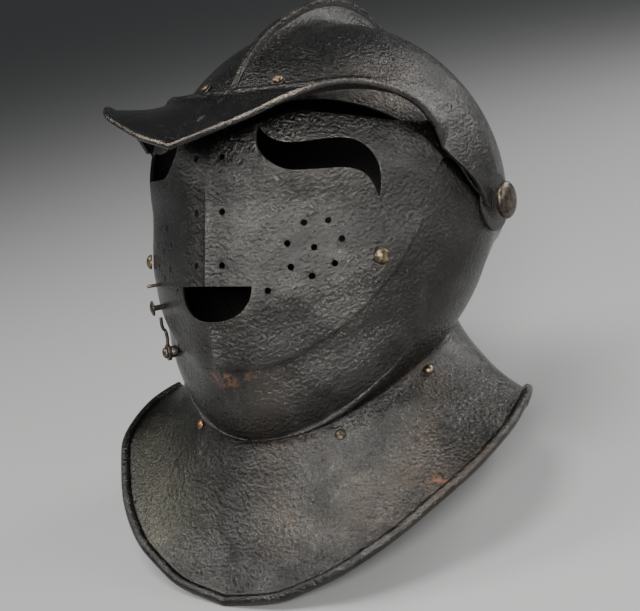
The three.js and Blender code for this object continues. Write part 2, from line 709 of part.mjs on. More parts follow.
function gorgetRearBody() {
  const start = gorgetSeam - gorgetLap;
  const turns = [start, gorgetSeam + 2, ...spaced(gorgetSeam + 6, 360 - gorgetSeam - 6, 24)];
  turns.push(360 - gorgetSeam - 2, 360 - start);
  const signed = turns.map((turn) => (turn > 180 ? turn - 360 : turn));
  const base = gorgetGrid(signed, (turn) => (Math.abs(turn) < gorgetSeam + 1 ? 0.86 : 1));
  const outer = gorgetSunk(base, signed);
  const rim = outer.slice(1, -1).map((line) => line.at(-1));
  const body = solid(closedPlate(outer, moved(outer, gorgetInward * plate)));
  return standing(body.add(tube(rim, gorgetRim, 44)));
}

function onGorget(turn, part) {
  const point = gorgetPoint(turn, part);
  const along = gorgetPoint(turn + 1, part).sub(gorgetPoint(turn - 1, part));
  const down = gorgetPoint(turn, part + 0.02).sub(gorgetPoint(turn, part - 0.02));
  return { point, normal: down.cross(along).normalize() };
}

// Rivets: a head over the plate, a shank through it and, where there is room, a button inside
function rivetBody(place, rivet, seat = 0, grip = plate) {
  const profile = [[0, -grip], [rivet.shank, -grip]];
  if (rivet.tail) {
    const low = -grip - fitGap;
    profile.splice(0, 2, [0, low - rivet.tail], [rivet.shank * 1.7, low - rivet.tail], [rivet.shank * 1.7, low]);
    profile.push([rivet.shank, low]);
  }
  profile.push([rivet.shank, seat + fitGap], ...dome(rivet.head, rivet.rise, seat + fitGap, 3));
  return turned(profile, place.point, place.normal, 12);
}

// The cheek is hollow on its outside here, so the wide head and button stand a little off it
function cheekRivetBody(side) {
  return rivetBody(onVisor(cheekPlace.share, cheekPlace.angle, side), cheekRivet, fitGap, plate + 2 * fitGap);
}

function washerBody(place, radius, shank, height) {
  const foot = place.point.clone().addScaledVector(place.normal, fitGap);
  const top = foot.clone().addScaledVector(place.normal, height);
  const low = foot.clone().addScaledVector(place.normal, -height);
  const high = top.clone().addScaledVector(place.normal, height);
  return bar(foot, top, radius, 20).subtract(bar(low, high, shank + fitGap, 16));
}

// Brow rivets: two on the bowl just behind the root of the peak
const browPlace = { share: 0.155, angle: 32 };

function onSkull(share, angle, side = 1) {
  const at = (s, a) => fanPoint(middleRow(a, browRadius * bowlShare(a)), s, skullHalfWidth);
  const point = at(share, angle);
  const along = at(share + 0.01, angle).sub(at(share - 0.01, angle));
  const normal = along.cross(at(share, angle + 1).sub(at(share, angle - 1))).normalize();
  for (const vector of [point, normal]) vector.x *= side;
  return { point, normal };
}

function skullBody() {
  let body = withEars(bothHalves(skullGrid(0), skullGrid(plate)), 'skull');
  for (const side of [-1, 1]) {
    body = drill(body, onSkull(browPlace.share, browPlace.angle, side), browRivet.shank + fitGap, 12);
  }
  return body;
}

// Pivots: a domed head over a washer, a shank through all four plates, a wide button inside the skull
function pivotParts(side) {
  const place = { point: V(side * outermost, 0, 0), normal: V(side, 0, 0) };
  const washer = washerBody(place, pivotWasher, pivotPin, washerRise);
  const inside = (radius) => (skullHalfWidth - plate) * Math.sqrt(1 - (radius / browRadius) ** 2);
  const low = inside(pivotButton) - outermost - 2 * fitGap;
  const seat = fitGap + washerRise + fitGap;
  const profile = [
    [0, low - plate],
    [pivotButton, low - plate],
    [pivotButton, low],
    [pivotPin, low],
    [pivotPin, seat],
    ...dome(pivotHead, pivotRise, seat),
  ];
  return { washer, head: turned(profile, place.point, place.normal, 28) };
}

// Latch on the wearer's right: a collared stud and a peg on the visor, a swinging hook on the bevor
function studBody() {
  const { post, ring, rise, thickness } = latchStud;
  const profile = [[0, -plate], [post, -plate], [post, rise], [ring, rise + 0.6], [ring, rise + thickness]];
  profile.push([ring * 0.45, rise + thickness + 0.9], [0, rise + thickness + 1.1]);
  const place = onVisor(studPlace.share, studPlace.angle, -1);
  return turned(profile, place.point, place.normal, 20);
}

function pegBody() {
  const { radius, height } = latchPin;
  const place = onVisor(pinPlace.share, pinPlace.angle, -1);
  return turned([[0, -plate], [radius, -plate], [radius, height], [0, height + 0.5]], place.point, place.normal, 12);
}

const hookPath = [
  { along: 0.1, aside: 0 },
  { along: 0.32, aside: -3.6 },
  { along: 0.46, aside: -2.4 },
  { along: 0.52, aside: 2 },
  { along: 0.62, aside: 4.2 },
  { along: 0.78, aside: 3.2 },
];

function hookBody() {
  const eye = onBevor(armPlace.share, armPlace.angle, -1);
  const stud = onVisor(studPlace.share, studPlace.angle, -1);
  const way = stud.point.clone().sub(eye.point);
  way.addScaledVector(eye.normal, -way.dot(eye.normal));
  const aside = eye.normal.clone().cross(way).normalize();
  const low = eye.point.clone().addScaledVector(eye.normal, latchArm.lift);
  const high = low.clone().addScaledVector(eye.normal, latchArm.thickness);
  const middle = low.clone().lerp(high, 0.5);
  const path = hookPath.map((row) =>
    middle.clone().addScaledVector(way, row.along).addScaledVector(aside, row.aside),
  );
  const bore = bar(
    low.clone().addScaledVector(eye.normal, -plate),
    high.clone().addScaledVector(eye.normal, plate),
    latchRivet.shank + fitGap,
    12,
  );
  return bar(low, high, latchArm.eye, 20).add(tube(path, latchArm.thickness / 2, 20)).subtract(bore);
}

function latchSpacer() {
  const place = onBevor(armPlace.share, armPlace.angle, -1);
  return washerBody(place, latchArm.spacer, latchRivet.shank, latchArm.lift - 2 * fitGap);
}

// The hollow rivets of the neck plate are bored through
function hollow(body, place) {
  return drill(body, place, rivetBore, 12);
}

addPiece('skull', skullBody(), blackSteel);
addPiece('bevor', bevorBody(), blackSteel);
addPiece('visor', visorBody(), blackSteel);
addPiece('peak', peakBody(), blackSteel);
addPiece('gorget_front', gorgetFrontBody(), blackSteel);
addPiece('gorget_rear', gorgetRearBody(), blackSteel);
for (const [word, side] of [['left', 1], ['right', -1]]) {
  const { washer, head } = pivotParts(side);
  addPiece(`pivot_${word}`, head, wornSteel);
  addPiece(`pivot_washer_${word}`, washer, wornSteel);
  const brow = onSkull(browPlace.share, browPlace.angle, side);
  addPiece(`brow_rivet_${word}`, rivetBody(brow, browRivet, fitGap + browWasher.height), wornSteel);
  addPiece(`brow_washer_${word}`, washerBody(brow, browWasher.radius, browRivet.shank, browWasher.height), wornSteel);
  addPiece(`cheek_rivet_${word}`, cheekRivetBody(side), wornSteel);
}
for (const place of neckRivetPlaces) {
  const on = onGorget(place.turn, place.part);
  addPiece(place.name, hollow(rivetBody(on, place.rivet), on), place.turn > 0 ? oldBrass : oldCopper);
}
addPiece(sideRivetPlace.name, rivetBody(onGorget(sideRivetPlace.turn, sideRivetPlace.part), sideRivet), oldBrass);
addPiece('latch_stud', studBody(), wornSteel);
addPiece('latch_pin', pegBody(), wornSteel);
addPiece('hook_arm', hookBody(), wornSteel);
addPiece('latch_spacer', latchSpacer(), wornSteel);
const hookSeat = latchArm.lift + latchArm.thickness;
addPiece('latch_rivet', rivetBody(onBevor(armPlace.share, armPlace.angle, -1), latchRivet, hookSeat), wornSteel);

for (const { name, body, material } of pieces) helmet.add(meshOf(name, body, material));
helmet.rotation.x = -rad(restTilt);
helmet.updateMatrixWorld(true);
const box = new THREE.Box3().setFromObject(helmet, true);
helmet.position.set(0, -(box.min.y + box.max.y) / 2, -box.min.z);
helmet.updateMatrixWorld(true);

export default helmet;
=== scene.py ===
import json
import math
import bmesh
import bpy
from mathutils import Matrix, Vector, kdtree


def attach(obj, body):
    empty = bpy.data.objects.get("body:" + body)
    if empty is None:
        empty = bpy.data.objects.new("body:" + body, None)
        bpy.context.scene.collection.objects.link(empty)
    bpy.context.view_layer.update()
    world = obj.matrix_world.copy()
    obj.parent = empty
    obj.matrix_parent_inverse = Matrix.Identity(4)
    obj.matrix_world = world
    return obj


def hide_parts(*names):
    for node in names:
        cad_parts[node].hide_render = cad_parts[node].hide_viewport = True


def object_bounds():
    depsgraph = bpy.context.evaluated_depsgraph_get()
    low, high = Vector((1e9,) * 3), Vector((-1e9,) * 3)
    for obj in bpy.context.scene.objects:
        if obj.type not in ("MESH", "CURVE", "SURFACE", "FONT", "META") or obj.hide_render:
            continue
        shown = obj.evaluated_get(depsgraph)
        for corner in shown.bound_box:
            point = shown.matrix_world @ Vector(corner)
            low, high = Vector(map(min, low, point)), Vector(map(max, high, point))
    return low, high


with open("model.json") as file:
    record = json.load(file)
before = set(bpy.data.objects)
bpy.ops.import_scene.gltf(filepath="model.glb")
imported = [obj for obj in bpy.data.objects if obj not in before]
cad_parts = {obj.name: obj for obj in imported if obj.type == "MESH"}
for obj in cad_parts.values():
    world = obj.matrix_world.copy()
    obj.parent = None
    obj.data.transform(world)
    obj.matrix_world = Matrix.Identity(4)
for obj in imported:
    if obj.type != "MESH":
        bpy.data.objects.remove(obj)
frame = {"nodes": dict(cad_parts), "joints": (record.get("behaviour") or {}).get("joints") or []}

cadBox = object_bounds()

# The plates are laid out in millimetres in the attitude in which the helmet is worn, about the
# pivots, and set down on the floor by toTable
stance = {"tilt": 21.5, "pivot": Vector(frame["joints"][0]["pos_m"])}
sizes = {
    "plate": 1.5, "layerGap": 0.8, "skullHalfWidth": 95, "browRadius": 111, "noseRadius": 120,
    "combHeight": 20, "combEdge": 1.8, "combFoot": 9, "combPass": 0.6, "peakReach": 147,
    "earRadius": 16, "collar": 7, "collarGap": 0.9,
    # the hollows beside the nose, and the crease that they leave between them
    "pinchDepth": 0.08, "pinchBreadth": 0.95, "pinchPower": 1.3,
    "creasePower": 0.52, "creaseBreadth": 0.12,
    # how far round from the middle to the pivot the plates go before the ears' discs take over
    "lastShare": .93,
}
step = sizes["plate"] + sizes["layerGap"]
layerOf = {"skull": 0, "bevor": 1, "visor": 2, "peak": 3}
tableTurn = Matrix.Rotation(-math.radians(stance["tilt"]), 3, "X")


def toTable(point):
    return stance["pivot"] + tableTurn @ (Vector(point) * 0.001)


def halfWidthOf(name):
    return sizes["skullHalfWidth"] + layerOf[name] * step


def mix(a, b, t):
    return a + (b - a) * t


def clamp(t):
    return min(1.0, max(0.0, t))


def smooth(t):
    return clamp(t) ** 2 * (3 - 2 * clamp(t))


def spaced(start, end, count):
    return [mix(start, end, i / count) for i in range(count + 1)]


def curveOf(rows):
    # a smooth curve through (place, value) rows
    last = len(rows) - 1

    def slope(i):
        before, after = rows[max(0, i - 1)], rows[min(last, i + 1)]
        return (after[1] - before[1]) / (after[0] - before[0])

    slopes = [slope(i) for i in range(last + 1)]

    def value(place):
        i = 0
        while i < last - 1 and place > rows[i + 1][0]:
            i += 1
        width = rows[i + 1][0] - rows[i][0]
        t = clamp((place - rows[i][0]) / width)
        bend = width * (slopes[i] * t * (1 - t) ** 2 - slopes[i + 1] * t * t * (1 - t))
        return mix(rows[i][1], rows[i + 1][1], smooth(t)) + bend

    return value


def curvesOf(rows):
    # one curve for each column after the first
    return [curveOf([(row[0], row[k]) for row in rows]) for k in range(1, len(rows[0]))]


def polar(x, radius, angle):
    turn = math.radians(angle)
    return Vector((x, -radius * math.cos(turn), radius * math.sin(turn)))


# The forms that the plates share: the bowl, the comb, the face and the neck
bowlShare = curveOf([(20, 1.0), (29, .998), (40, .975), (52, .958), (64, .945), (78, .934), (92, .925),
                     (108, .912), (126, .9), (146, .885), (166, .862), (186, .825), (202, .745),
                     (214, .67)])
combShare = curveOf([(20, 0), (29, .06), (40, .25), (52, .35), (64, .42), (78, .64), (92, .86), (108, 1),
                     (126, .97), (146, .78), (166, .48), (186, .2), (202, .03), (214, 0)])
faceShare = curveOf([(-60, 1.26), (-50, 1.24), (-44, 1.212), (-38, 1.182), (-32, 1.135), (-26, 1.105),
                     (-20, 1.064), (-12, 1.02), (-4, 1), (4, .998), (11, .994), (22, .985), (70, .985)])
pinchShare = curveOf([(-60, 0), (-50, .45), (-44, .85), (-38, 1), (-12, 1), (-4, .95), (4, .55),
                      (11, .15), (22, 0), (70, 0)])
neckForm = {"halfWidth": 74, "halfDepth": 74, "centre": 10, "drop": 66, "slope": .535, "sag": .00194}


def neckPoint(turn, inset=0.0):
    y = -neckForm["centre"] - (neckForm["halfDepth"] - inset) * math.cos(math.radians(turn))
    x = (neckForm["halfWidth"] - inset) * math.sin(math.radians(turn))
    return Vector((x, y, -neckForm["drop"] + neckForm["slope"] * y - neckForm["sag"] * y * y))


def neckAngle(turn):
    point = neckPoint(turn)
    return math.degrees(math.atan2(point.z, -point.y))


def neckTurnAt(angle):
    near, far = 0.0, 180.0
    for _ in range(40):
        middle = (near + far) / 2
        if neckAngle(middle) > angle:
            near = middle
        else:
            far = middle
    return (near + far) / 2


def middleRow(angle, radius, pinch=0.0):
    return {"angle": angle, "radius": radius, "pinch": pinch, "startX": 0.0, "lean": 0.0}


def neckRow(turn, inset, wrap=True):
    point = neckPoint(turn, inset)
    angle = math.degrees(math.atan2(point.z, -point.y))
    if turn > 90 and (wrap or angle > 90):
        angle += 360 if wrap else -360
    pinch = pinchShare(neckAngle(0)) * (1 - smooth(turn / 60)) if turn < 90 else 0.0
    return {"angle": angle, "radius": math.hypot(point.y, point.z), "pinch": pinch,
            "startX": point.x, "lean": math.sin(math.radians(turn))}


def fanPoint(row, share, halfWidth):
    turn = math.radians(90 * share)
    across = max(0.0, math.sin(turn)) ** (1 + 0.8 * row["lean"])
    crease = math.exp(-(across / sizes["creaseBreadth"]) ** 2)
    power = sizes["pinchPower"] - sizes["creasePower"] * crease
    hollow = max(0.0, math.sin(math.pi * min(1.0, across / sizes["pinchBreadth"]))) ** power
    radius = row["radius"] * (math.cos(turn) - sizes["pinchDepth"] * row["pinch"] * hollow)
    return polar(mix(row["startX"], halfWidth, across), radius, row["angle"])


# Small helpers that write node trees
class Field:
    # a value socket that Python's own operators work on
    def __init__(self, net, socket):
        self.net, self.socket = net, socket

    def join(self, operation, other, flipped=False):
        first, second = (other, self) if flipped else (self, other)
        node = self.net.add("ShaderNodeMath", {"operation": operation}, {0: first, 1: second})
        return Field(self.net, node.outputs[0])

    def __add__(self, other):
        return self.join("ADD", other)

    def __sub__(self, other):
        return self.join("SUBTRACT", other)

    def __rsub__(self, other):
        return self.join("SUBTRACT", other, True)

    def __mul__(self, other):
        return self.join("MULTIPLY", other)

    def __pow__(self, other):
        return self.join("POWER", other)

    __radd__ = __add__
    __rmul__ = __mul__

    def band(self, low, high, first=0.0, last=1.0):
        # smooth step from first at low to last at high
        settings = {"interpolation_type": "SMOOTHSTEP"}
        values = {0: self, 1: low, 2: high, 3: first, 4: last}
        return Field(self.net, self.net.add("ShaderNodeMapRange", settings, values).outputs[0])


class Net:
    def __init__(self, tree):
        self.tree = tree

    def add(self, kind, settings=None, values=None):
        node = self.tree.nodes.new(kind)
        for key, value in (settings or {}).items():
            setattr(node, key, value)
        for key, value in (values or {}).items():
            value = value.socket if isinstance(value, Field) else value
            if isinstance(value, bpy.types.NodeSocket):
                self.tree.links.new(value, node.inputs[key])
            else:
                node.inputs[key].default_value = value
        return node

    def noise(self, place, scale, detail=3.0, rough=0.5, distort=0.0):
        values = {"Vector": place, "Scale": scale, "Detail": detail, "Roughness": rough,
                  "Distortion": distort}
        return Field(self, self.add("ShaderNodeTexNoise", {}, values).outputs[0])

    def blend(self, share, first, second):
        node = self.add("ShaderNodeMix", {"data_type": "RGBA"}, {0: share, 6: first, 7: second})
        return node.outputs[2]

    def split(self, vector):
        node = self.add("ShaderNodeSeparateXYZ", {}, {0: vector})
        return [Field(self, socket) for socket in node.outputs]

    def gather(self, x, y, z):
        return self.add("ShaderNodeCombineXYZ", {}, {0: x, 1: y, 2: z}).outputs[0]

    def attribute(self, name):
        return Field(self, self.add("ShaderNodeAttribute", {"attribute_name": name}).outputs["Fac"])


def freshMaterial(name):
    material = bpy.data.materials.new(name)
    material.use_nodes = True
    net = Net(material.node_tree)
    material.node_tree.nodes.clear()
    output = net.add("ShaderNodeOutputMaterial")
    return material, net, output


# Blackened plate: leathery hammered skin, brown and rusty patches, worn edges rubbed bright with a
# painted highlight, painted shade on inward faces and under steps
plateFinish = {
    "dark": (0.036, 0.035, 0.033, 1), "mid": (0.072, 0.07, 0.066, 1),
    # "bare" is rubbed metal at the edges, which also stands for a painted edge highlight
    "brown": (0.09, 0.072, 0.057, 1), "rust": (0.19, 0.08, 0.038, 1), "bare": (0.22, 0.18, 0.14, 1),
    # "inner" is a painted shade colour: near black for inward faces and for the steps under plate edges
    "olive": (0.085, 0.085, 0.06, 1), "inner": (0.010, 0.0098, 0.0092, 1),
    "rough": 0.29, "roughSpread": 0.16, "metallic": 0.86,
    # in metres: size of the skin's grain and depth of all the relief
    "grainSize": 0.0016, "bumpDepth": 0.00046, "bumpStrength": 0.9,
    # how many of each go to a metre
    "grit": 1900.0, "dents": 95.0, "waves": 22.0, "patches": 34.0, "clouds": 11.0, "pits": 250.0,
    "speckles": 420.0, "rustGrain": 230.0,
    # strokes to a metre or radian: round the pivots, away from them, from side to side
    "strokeLay": (75.0, 45.0, 55.0),
    # what each adds to the relief
    "relief": {"skin": 1.5, "cell": 0.7, "grit": 0.3, "dents": 0.6, "waves": 0.9, "pits": -0.55},
}


def plateSteel(name, rustSpots=(), oliveSpots=(), strokes=0.35, rubbedAndSheen=0.35):
    look = plateFinish
    material, net, output = freshMaterial(name)
    place = net.add("ShaderNodeTexCoord").outputs["Object"]
    x, y, z = net.split(place)
    back, up = y - stance["pivot"].y, z - stance["pivot"].z
    radius = (back * back + up * up) ** 0.5
    turn = up.join("ARCTAN2", 0.0 - back)
    roundLay, outLay, sideLay = look["strokeLay"]
    stroke = net.noise(net.gather(turn * roundLay, radius * outLay, x * sideLay), 1.0, 4.0, 0.6, 0.4)
    cells = net.add("ShaderNodeTexVoronoi", {"feature": "SMOOTH_F1"},
                    {"Vector": place, "Scale": 0.8 / look["grainSize"], "Smoothness": 0.6})
    layers = {
        "skin": net.noise(place, 1 / look["grainSize"], 5.0, 0.62, 0.35),
        "cell": Field(net, cells.outputs["Distance"]),
        "grit": net.noise(place, look["grit"], 3.0, 0.6),
        "dents": net.noise(place, look["dents"], 3.0, 0.5),
        "waves": net.noise(place, look["waves"], 2.0, 0.4),
        "pits": net.noise(place, look["pits"], 2.0, 0.5).band(0.64, 0.74),
    }
    height = stroke * strokes
    for key, layer in layers.items():
        height = height + layer * look["relief"][key]
    bump = net.add("ShaderNodeBump", {}, {
        "Strength": look["bumpStrength"], "Distance": look["bumpDepth"], "Height": height})

    def nearTo(spot, reach):
        away = net.add("ShaderNodeVectorMath", {"operation": "DISTANCE"}, {0: place, 1: tuple(spot)})
        return Field(net, away.outputs["Value"]).band(0.0, reach, 1.0, 0.0)

    skin = layers["skin"]
    patches = net.noise(place, look["patches"], 5.0, 0.62, 0.5)
    cloud = net.noise(place, look["clouds"], 4.0, 0.55, 0.3)
    wearAndSheen, insideShade = net.attribute("wearAndSheen"), net.attribute("insideShade")
    edge = (wearAndSheen * (0.35 + patches * 1.3)).band(0.5, 0.98)
    colour = net.blend(patches.band(0.36, 0.66), look["dark"], look["mid"])
    colour = net.blend(skin.band(0.62, 0.40) * 0.35, colour, look["dark"])
    # painted shade: darker just under the visor's lower edge and where the bevor sits over the gorget
    colour = net.blend(net.attribute("paintedStepShade").band(0.0, 0.9) * 0.8, colour, look["inner"])
    colour = net.blend(cloud.band(0.52, 0.72) * 0.55, colour, look["brown"])
    speckle = net.noise(place, look["speckles"], 2.0, 0.6).band(0.62, 0.72) * patches.band(0.46, 0.6)
    rust = speckle * 0.35 + wearAndSheen * patches.band(0.5, 0.68) * 0.35
    for spot, reach, strength in rustSpots:
        grain = net.noise(place, look["rustGrain"], 4.0, 0.65).band(0.36, 0.62)
        rust = rust + nearTo(spot, reach) * grain * strength
    for spot, reach, strength in oliveSpots:
        colour = net.blend(nearTo(spot, reach) * strength * (0.4 + patches), colour, look["olive"])
    colour = net.blend(rust.band(0.0, 1.0), colour, look["rust"])
    # the edges painted bright: real wear and a painted highlight
    colour = net.blend(edge * rubbedAndSheen, colour, look["bare"])
    # painted shade: inward faces near black, rougher and less metallic
    colour = net.blend(insideShade * 0.92, colour, look["inner"])
    roughness = look["rough"] + look["roughSpread"] * (skin - 0.5) * 2.0 + rust * 0.2 + insideShade * 0.3
    metallic = look["metallic"] - rust * 0.5 - insideShade * 0.5
    shader = net.add("ShaderNodeBsdfPrincipled", {}, {
        "Base Color": colour, "Roughness": roughness.band(0.12, 0.85, 0.12, 0.85),
        "Metallic": metallic.band(0.0, 1.0), "Normal": bump.outputs[0],
    })
    net.tree.links.new(shader.outputs[0], output.inputs[0])
    return material


# Rivet and fitting metals: one recipe, three colours
metalFinish = {
    "tarnish": 260.0, "grit": 1500.0, "bumpStrength": 0.7, "bumpDepth": 0.00035,
    "roughSpread": 0.3, "metallic": 0.9,
    "kinds": {
        "worn": {"deep": (0.035, 0.031, 0.027, 1), "high": (0.13, 0.105, 0.08, 1), "rough": 0.38},
        "brass": {"deep": (0.055, 0.044, 0.03, 1), "high": (0.27, 0.205, 0.125, 1), "rough": 0.36},
        "copper": {"deep": (0.08, 0.038, 0.022, 1), "high": (0.42, 0.20, 0.105, 1), "rough": 0.36},
    },
}


def fittingMetal(name, kind):
    look, tone = metalFinish, metalFinish["kinds"][kind]
    material, net, output = freshMaterial(name)
    place = net.add("ShaderNodeTexCoord").outputs["Object"]
    tarnish = net.noise(place, look["tarnish"], 5.0, 0.65, 0.4)
    fine = net.noise(place, look["grit"], 3.0, 0.6)
    bump = net.add("ShaderNodeBump", {}, {
        "Strength": look["bumpStrength"], "Distance": look["bumpDepth"],
        "Height": tarnish + fine * 0.3})
    shader = net.add("ShaderNodeBsdfPrincipled", {}, {
        "Base Color": net.blend(tarnish.band(0.38, 0.62), tone["deep"], tone["high"]),
        "Roughness": tone["rough"] + (fine - 0.5) * look["roughSpread"],
        "Metallic": look["metallic"], "Normal": bump.outputs[0],
    })
    net.tree.links.new(shader.outputs[0], output.inputs[0])
    return material


wornMetal = fittingMetal("wornSteelFittings", "worn")
brassMetal = fittingMetal("oldBrass", "brass")
copperMetal = fittingMetal("oldCopper", "copper")


# Meshes
def gridNormals(grid):
    # outward direction at each point; on the middle plane it has no sideways part
    rows, columns = len(grid), len(grid[0])
    normals = []
    for i in range(rows):
        line = []
        for j in range(columns):
            across = grid[i][min(columns - 1, j + 1)] - grid[i][max(0, j - 1)]
            along = grid[min(rows - 1, i + 1)][j] - grid[max(0, i - 1)][j]
            normal = across.cross(along)
            if abs(grid[i][j].x) < 1e-6:
                normal.x = 0
            line.append(normal.normalized())
        normals.append(line)
    return normals


def moved(grid, distance):
    normals = gridNormals(grid)
    return [[p + n * distance for p, n in zip(*pair)] for pair in zip(grid, normals)]


def shellMesh(name, outer, inner, mirrored):
    # a closed plate between two grids; a mirrored one is joined along the middle plane
    work = bmesh.new()
    rows, columns = len(outer), len(outer[0])
    for side in (1, -1) if mirrored else (1,):
        top, under = [[[work.verts.new(toTable((p.x * side, p.y, p.z))) for p in line]
                       for line in grid] for grid in (outer, inner)]
        quads = []
        for i in range(rows - 1):
            for j in range(columns - 1):
                quads.append([top[i][j], top[i][j + 1], top[i + 1][j + 1], top[i + 1][j]])
                quads.append([under[i][j], under[i + 1][j], under[i + 1][j + 1], under[i][j + 1]])
            for j in (0, columns - 1):
                if mirrored and max(abs(outer[i][j].x), abs(outer[i + 1][j].x)) < 1e-6:
                    continue
                quads.append([top[i][j], top[i + 1][j], under[i + 1][j], under[i][j]])
        for j in range(columns - 1):
            for i in (0, rows - 1):
                quads.append([top[i][j], top[i][j + 1], under[i][j + 1], under[i][j]])
        for quad in quads:
            work.faces.new(quad)
    bmesh.ops.remove_doubles(work, verts=work.verts, dist=2e-6)
    bmesh.ops.dissolve_degenerate(work, dist=1e-7, edges=work.edges)
    bmesh.ops.recalc_face_normals(work, faces=work.faces)
    return meshFrom(work, name)


def meshFrom(work, name):
    mesh = bpy.data.meshes.new(name)
    work.to_mesh(mesh)
    work.free()
    return mesh


def objectFrom(mesh, name):
    piece = bpy.data.objects.new(name, mesh)
    bpy.context.scene.collection.objects.link(piece)
    return piece


def joinMeshes(meshes, name):
    work = bmesh.new()
    for mesh in meshes:
        work.from_mesh(mesh)
    return meshFrom(work, name)


def settled(piece):
    # the piece with its modifiers made into a plain mesh
    graph = bpy.context.evaluated_depsgraph_get()
    mesh = bpy.data.meshes.new_from_object(piece.evaluated_get(graph))
    mesh.name = piece.name
    return mesh


def combined(piece, tool, operation):
    cutter = objectFrom(tool, piece.name + "Tool")
    modifier = piece.modifiers.new(operation, "BOOLEAN")
    modifier.operation, modifier.object, modifier.solver = operation, cutter, "MANIFOLD"
    mesh = settled(piece)
    if len(mesh.polygons) == 0:
        modifier.solver = "EXACT"
        mesh = settled(piece)
    piece.modifiers.clear()
    piece.data = mesh
    bpy.data.objects.remove(cutter)


def spunMesh(name, profile, side, count):
    # a closed body of revolution about the pivots' axis; profile rows are (radius, height)
    work = bmesh.new()
    rings = []
    for radius, height in profile:
        spots = [0] if radius == 0 else range(count)
        ring = []
        for k in spots:
            turn = 2 * math.pi * k / count
            spot = (side * height, radius * math.cos(turn), radius * math.sin(turn))
            ring.append(work.verts.new(toTable(spot)))
        rings.append(ring)
    for first, second in zip(rings, rings[1:]):
        for k in range(count):
            a, b = first[k % len(first)], first[(k + 1) % len(first)]
            c, d = second[(k + 1) % len(second)], second[k % len(second)]
            corners = [v for n, v in enumerate((a, b, c, d)) if v not in (a, b, c, d)[:n]]
            work.faces.new(corners)
    bmesh.ops.recalc_face_normals(work, faces=work.faces)
    return meshFrom(work, name)


def earMesh(name):
    # the discs of a plate round the pivots
    wide = halfWidthOf(name)

    def height(radius, inset):
        return (wide - inset) * math.sqrt(1 - (radius / (sizes["browRadius"] - inset)) ** 2)

    reach, plate = sizes["earRadius"], sizes["plate"]
    inside = [(reach * part, height(reach * part, plate)) for part in (0, .3, .6, .85, 1)]
    outside = [(reach * part, height(reach * part, 0)) for part in (1, .97, .85, .6, .3, 0)]
    outside[0] = (reach, height(reach, 0.35))
    ears = [spunMesh(name + "Ear", inside + outside, side, 72) for side in (-1, 1)]
    return joinMeshes(ears, name + "Ears")


def prismMesh(outlines, near, far):
    # openings cut straight through from the front; outlines in X and Z
    work = bmesh.new()
    for outline in outlines:
        ends = [[work.verts.new(toTable((x, -depth, z))) for x, z in outline] for depth in (near, far)]
        faces = [work.faces.new(ends[0]), work.faces.new(ends[1])]
        for k in range(len(outline)):
            n = (k + 1) % len(outline)
            work.faces.new([ends[0][k], ends[0][n], ends[1][n], ends[1][k]])
        bmesh.ops.triangulate(work, faces=faces)
    bmesh.ops.recalc_face_normals(work, faces=work.faces)
    return meshFrom(work, "openings")


def through(points, fine=6):
    # a smooth line through points
    line = []
    for i in range(len(points) - 1):
        before, start = Vector(points[max(0, i - 1)]), Vector(points[i])
        end, after = Vector(points[i + 1]), Vector(points[min(len(points) - 1, i + 2)])
        for k in range(fine):
            t = k / fine
            line.append(0.5 * (2 * start + (end - before) * t
                               + (2 * before - 5 * start + 4 * end - after) * t * t
                               + (3 * start - before - 3 * end + after) * t ** 3))
    return line


def mirroredPoints(points):
    return points + [Vector((-p.x, p.y, p.z)) for p in points]


def placeMesh(rows):
    # one point for each row: place, direction away from the plate, radius, rise
    mesh = bpy.data.meshes.new("places")
    mesh.from_pydata([toTable(row["place"]) for row in rows], [], [])
    for name, kind in (("away", "FLOAT_VECTOR"), ("radius", "FLOAT"), ("rise", "FLOAT")):
        mesh.attributes.new(name, kind, "POINT")
    for k, row in enumerate(rows):
        mesh.attributes["away"].data[k].vector = tableTurn @ Vector(row["away"])
        mesh.attributes["radius"].data[k].value = row["radius"] * 0.001
        mesh.attributes["rise"].data[k].value = row["rise"] * 0.001
    return mesh


def newTree(name, inputs):
    tree = bpy.data.node_groups.new(name, "GeometryNodeTree")
    tree.interface.new_socket("Geometry", in_out="INPUT", socket_type="NodeSocketGeometry")
    for label, kind, value in inputs:
        socket = tree.interface.new_socket(label, in_out="INPUT", socket_type="NodeSocket" + kind)
        if value is not None:
            socket.default_value = value
    tree.interface.new_socket("Geometry", in_out="OUTPUT", socket_type="NodeSocketGeometry")
    net = Net(tree)
    return net, net.add("NodeGroupInput"), net.add("NodeGroupOutput")


def closeTree(net, output, geometry, material):
    whole = net.add("GeometryNodeRealizeInstances", {}, {0: geometry})
    smoothed = net.add("GeometryNodeSetShadeSmooth", {}, {0: whole.outputs[0]})
    painted = net.add("GeometryNodeSetMaterial", {},
                      {"Geometry": smoothed.outputs[0], "Material": material})
    net.tree.links.new(painted.outputs[0], output.inputs[0])


treeForm = {
    "headRings": 20, "headSkirt": 0.16, "headGrain": 260.0, "headMiddle": 0.62,
    "rollSides": 20, "rollGrain": 90.0, "rollMiddle": 0.66,
}


def namedValue(net, name, kind="FLOAT"):
    return net.add("GeometryNodeInputNamedAttribute", {"data_type": kind}, {"Name": name}).outputs[0]


def beaten(net, geometry, seed, depth, grain, middle):
    # the surface moved in and out along its normals, as hammering leaves it
    place = net.add("GeometryNodeInputPosition").outputs[0]
    rough = net.add("ShaderNodeTexNoise", {"noise_dimensions": "4D"},
                    {"Vector": place, "W": seed, "Scale": grain, "Detail": 2.0})
    push = (Field(net, rough.outputs[0]) - middle) * Field(net, depth)
    outward = net.add("GeometryNodeInputNormal").outputs[0]
    offset = net.add("ShaderNodeVectorMath", {"operation": "SCALE"}, {0: outward, "Scale": push})
    return net.add("GeometryNodeSetPosition", {},
                   {"Geometry": geometry, "Offset": offset.outputs[0]}).outputs[0]


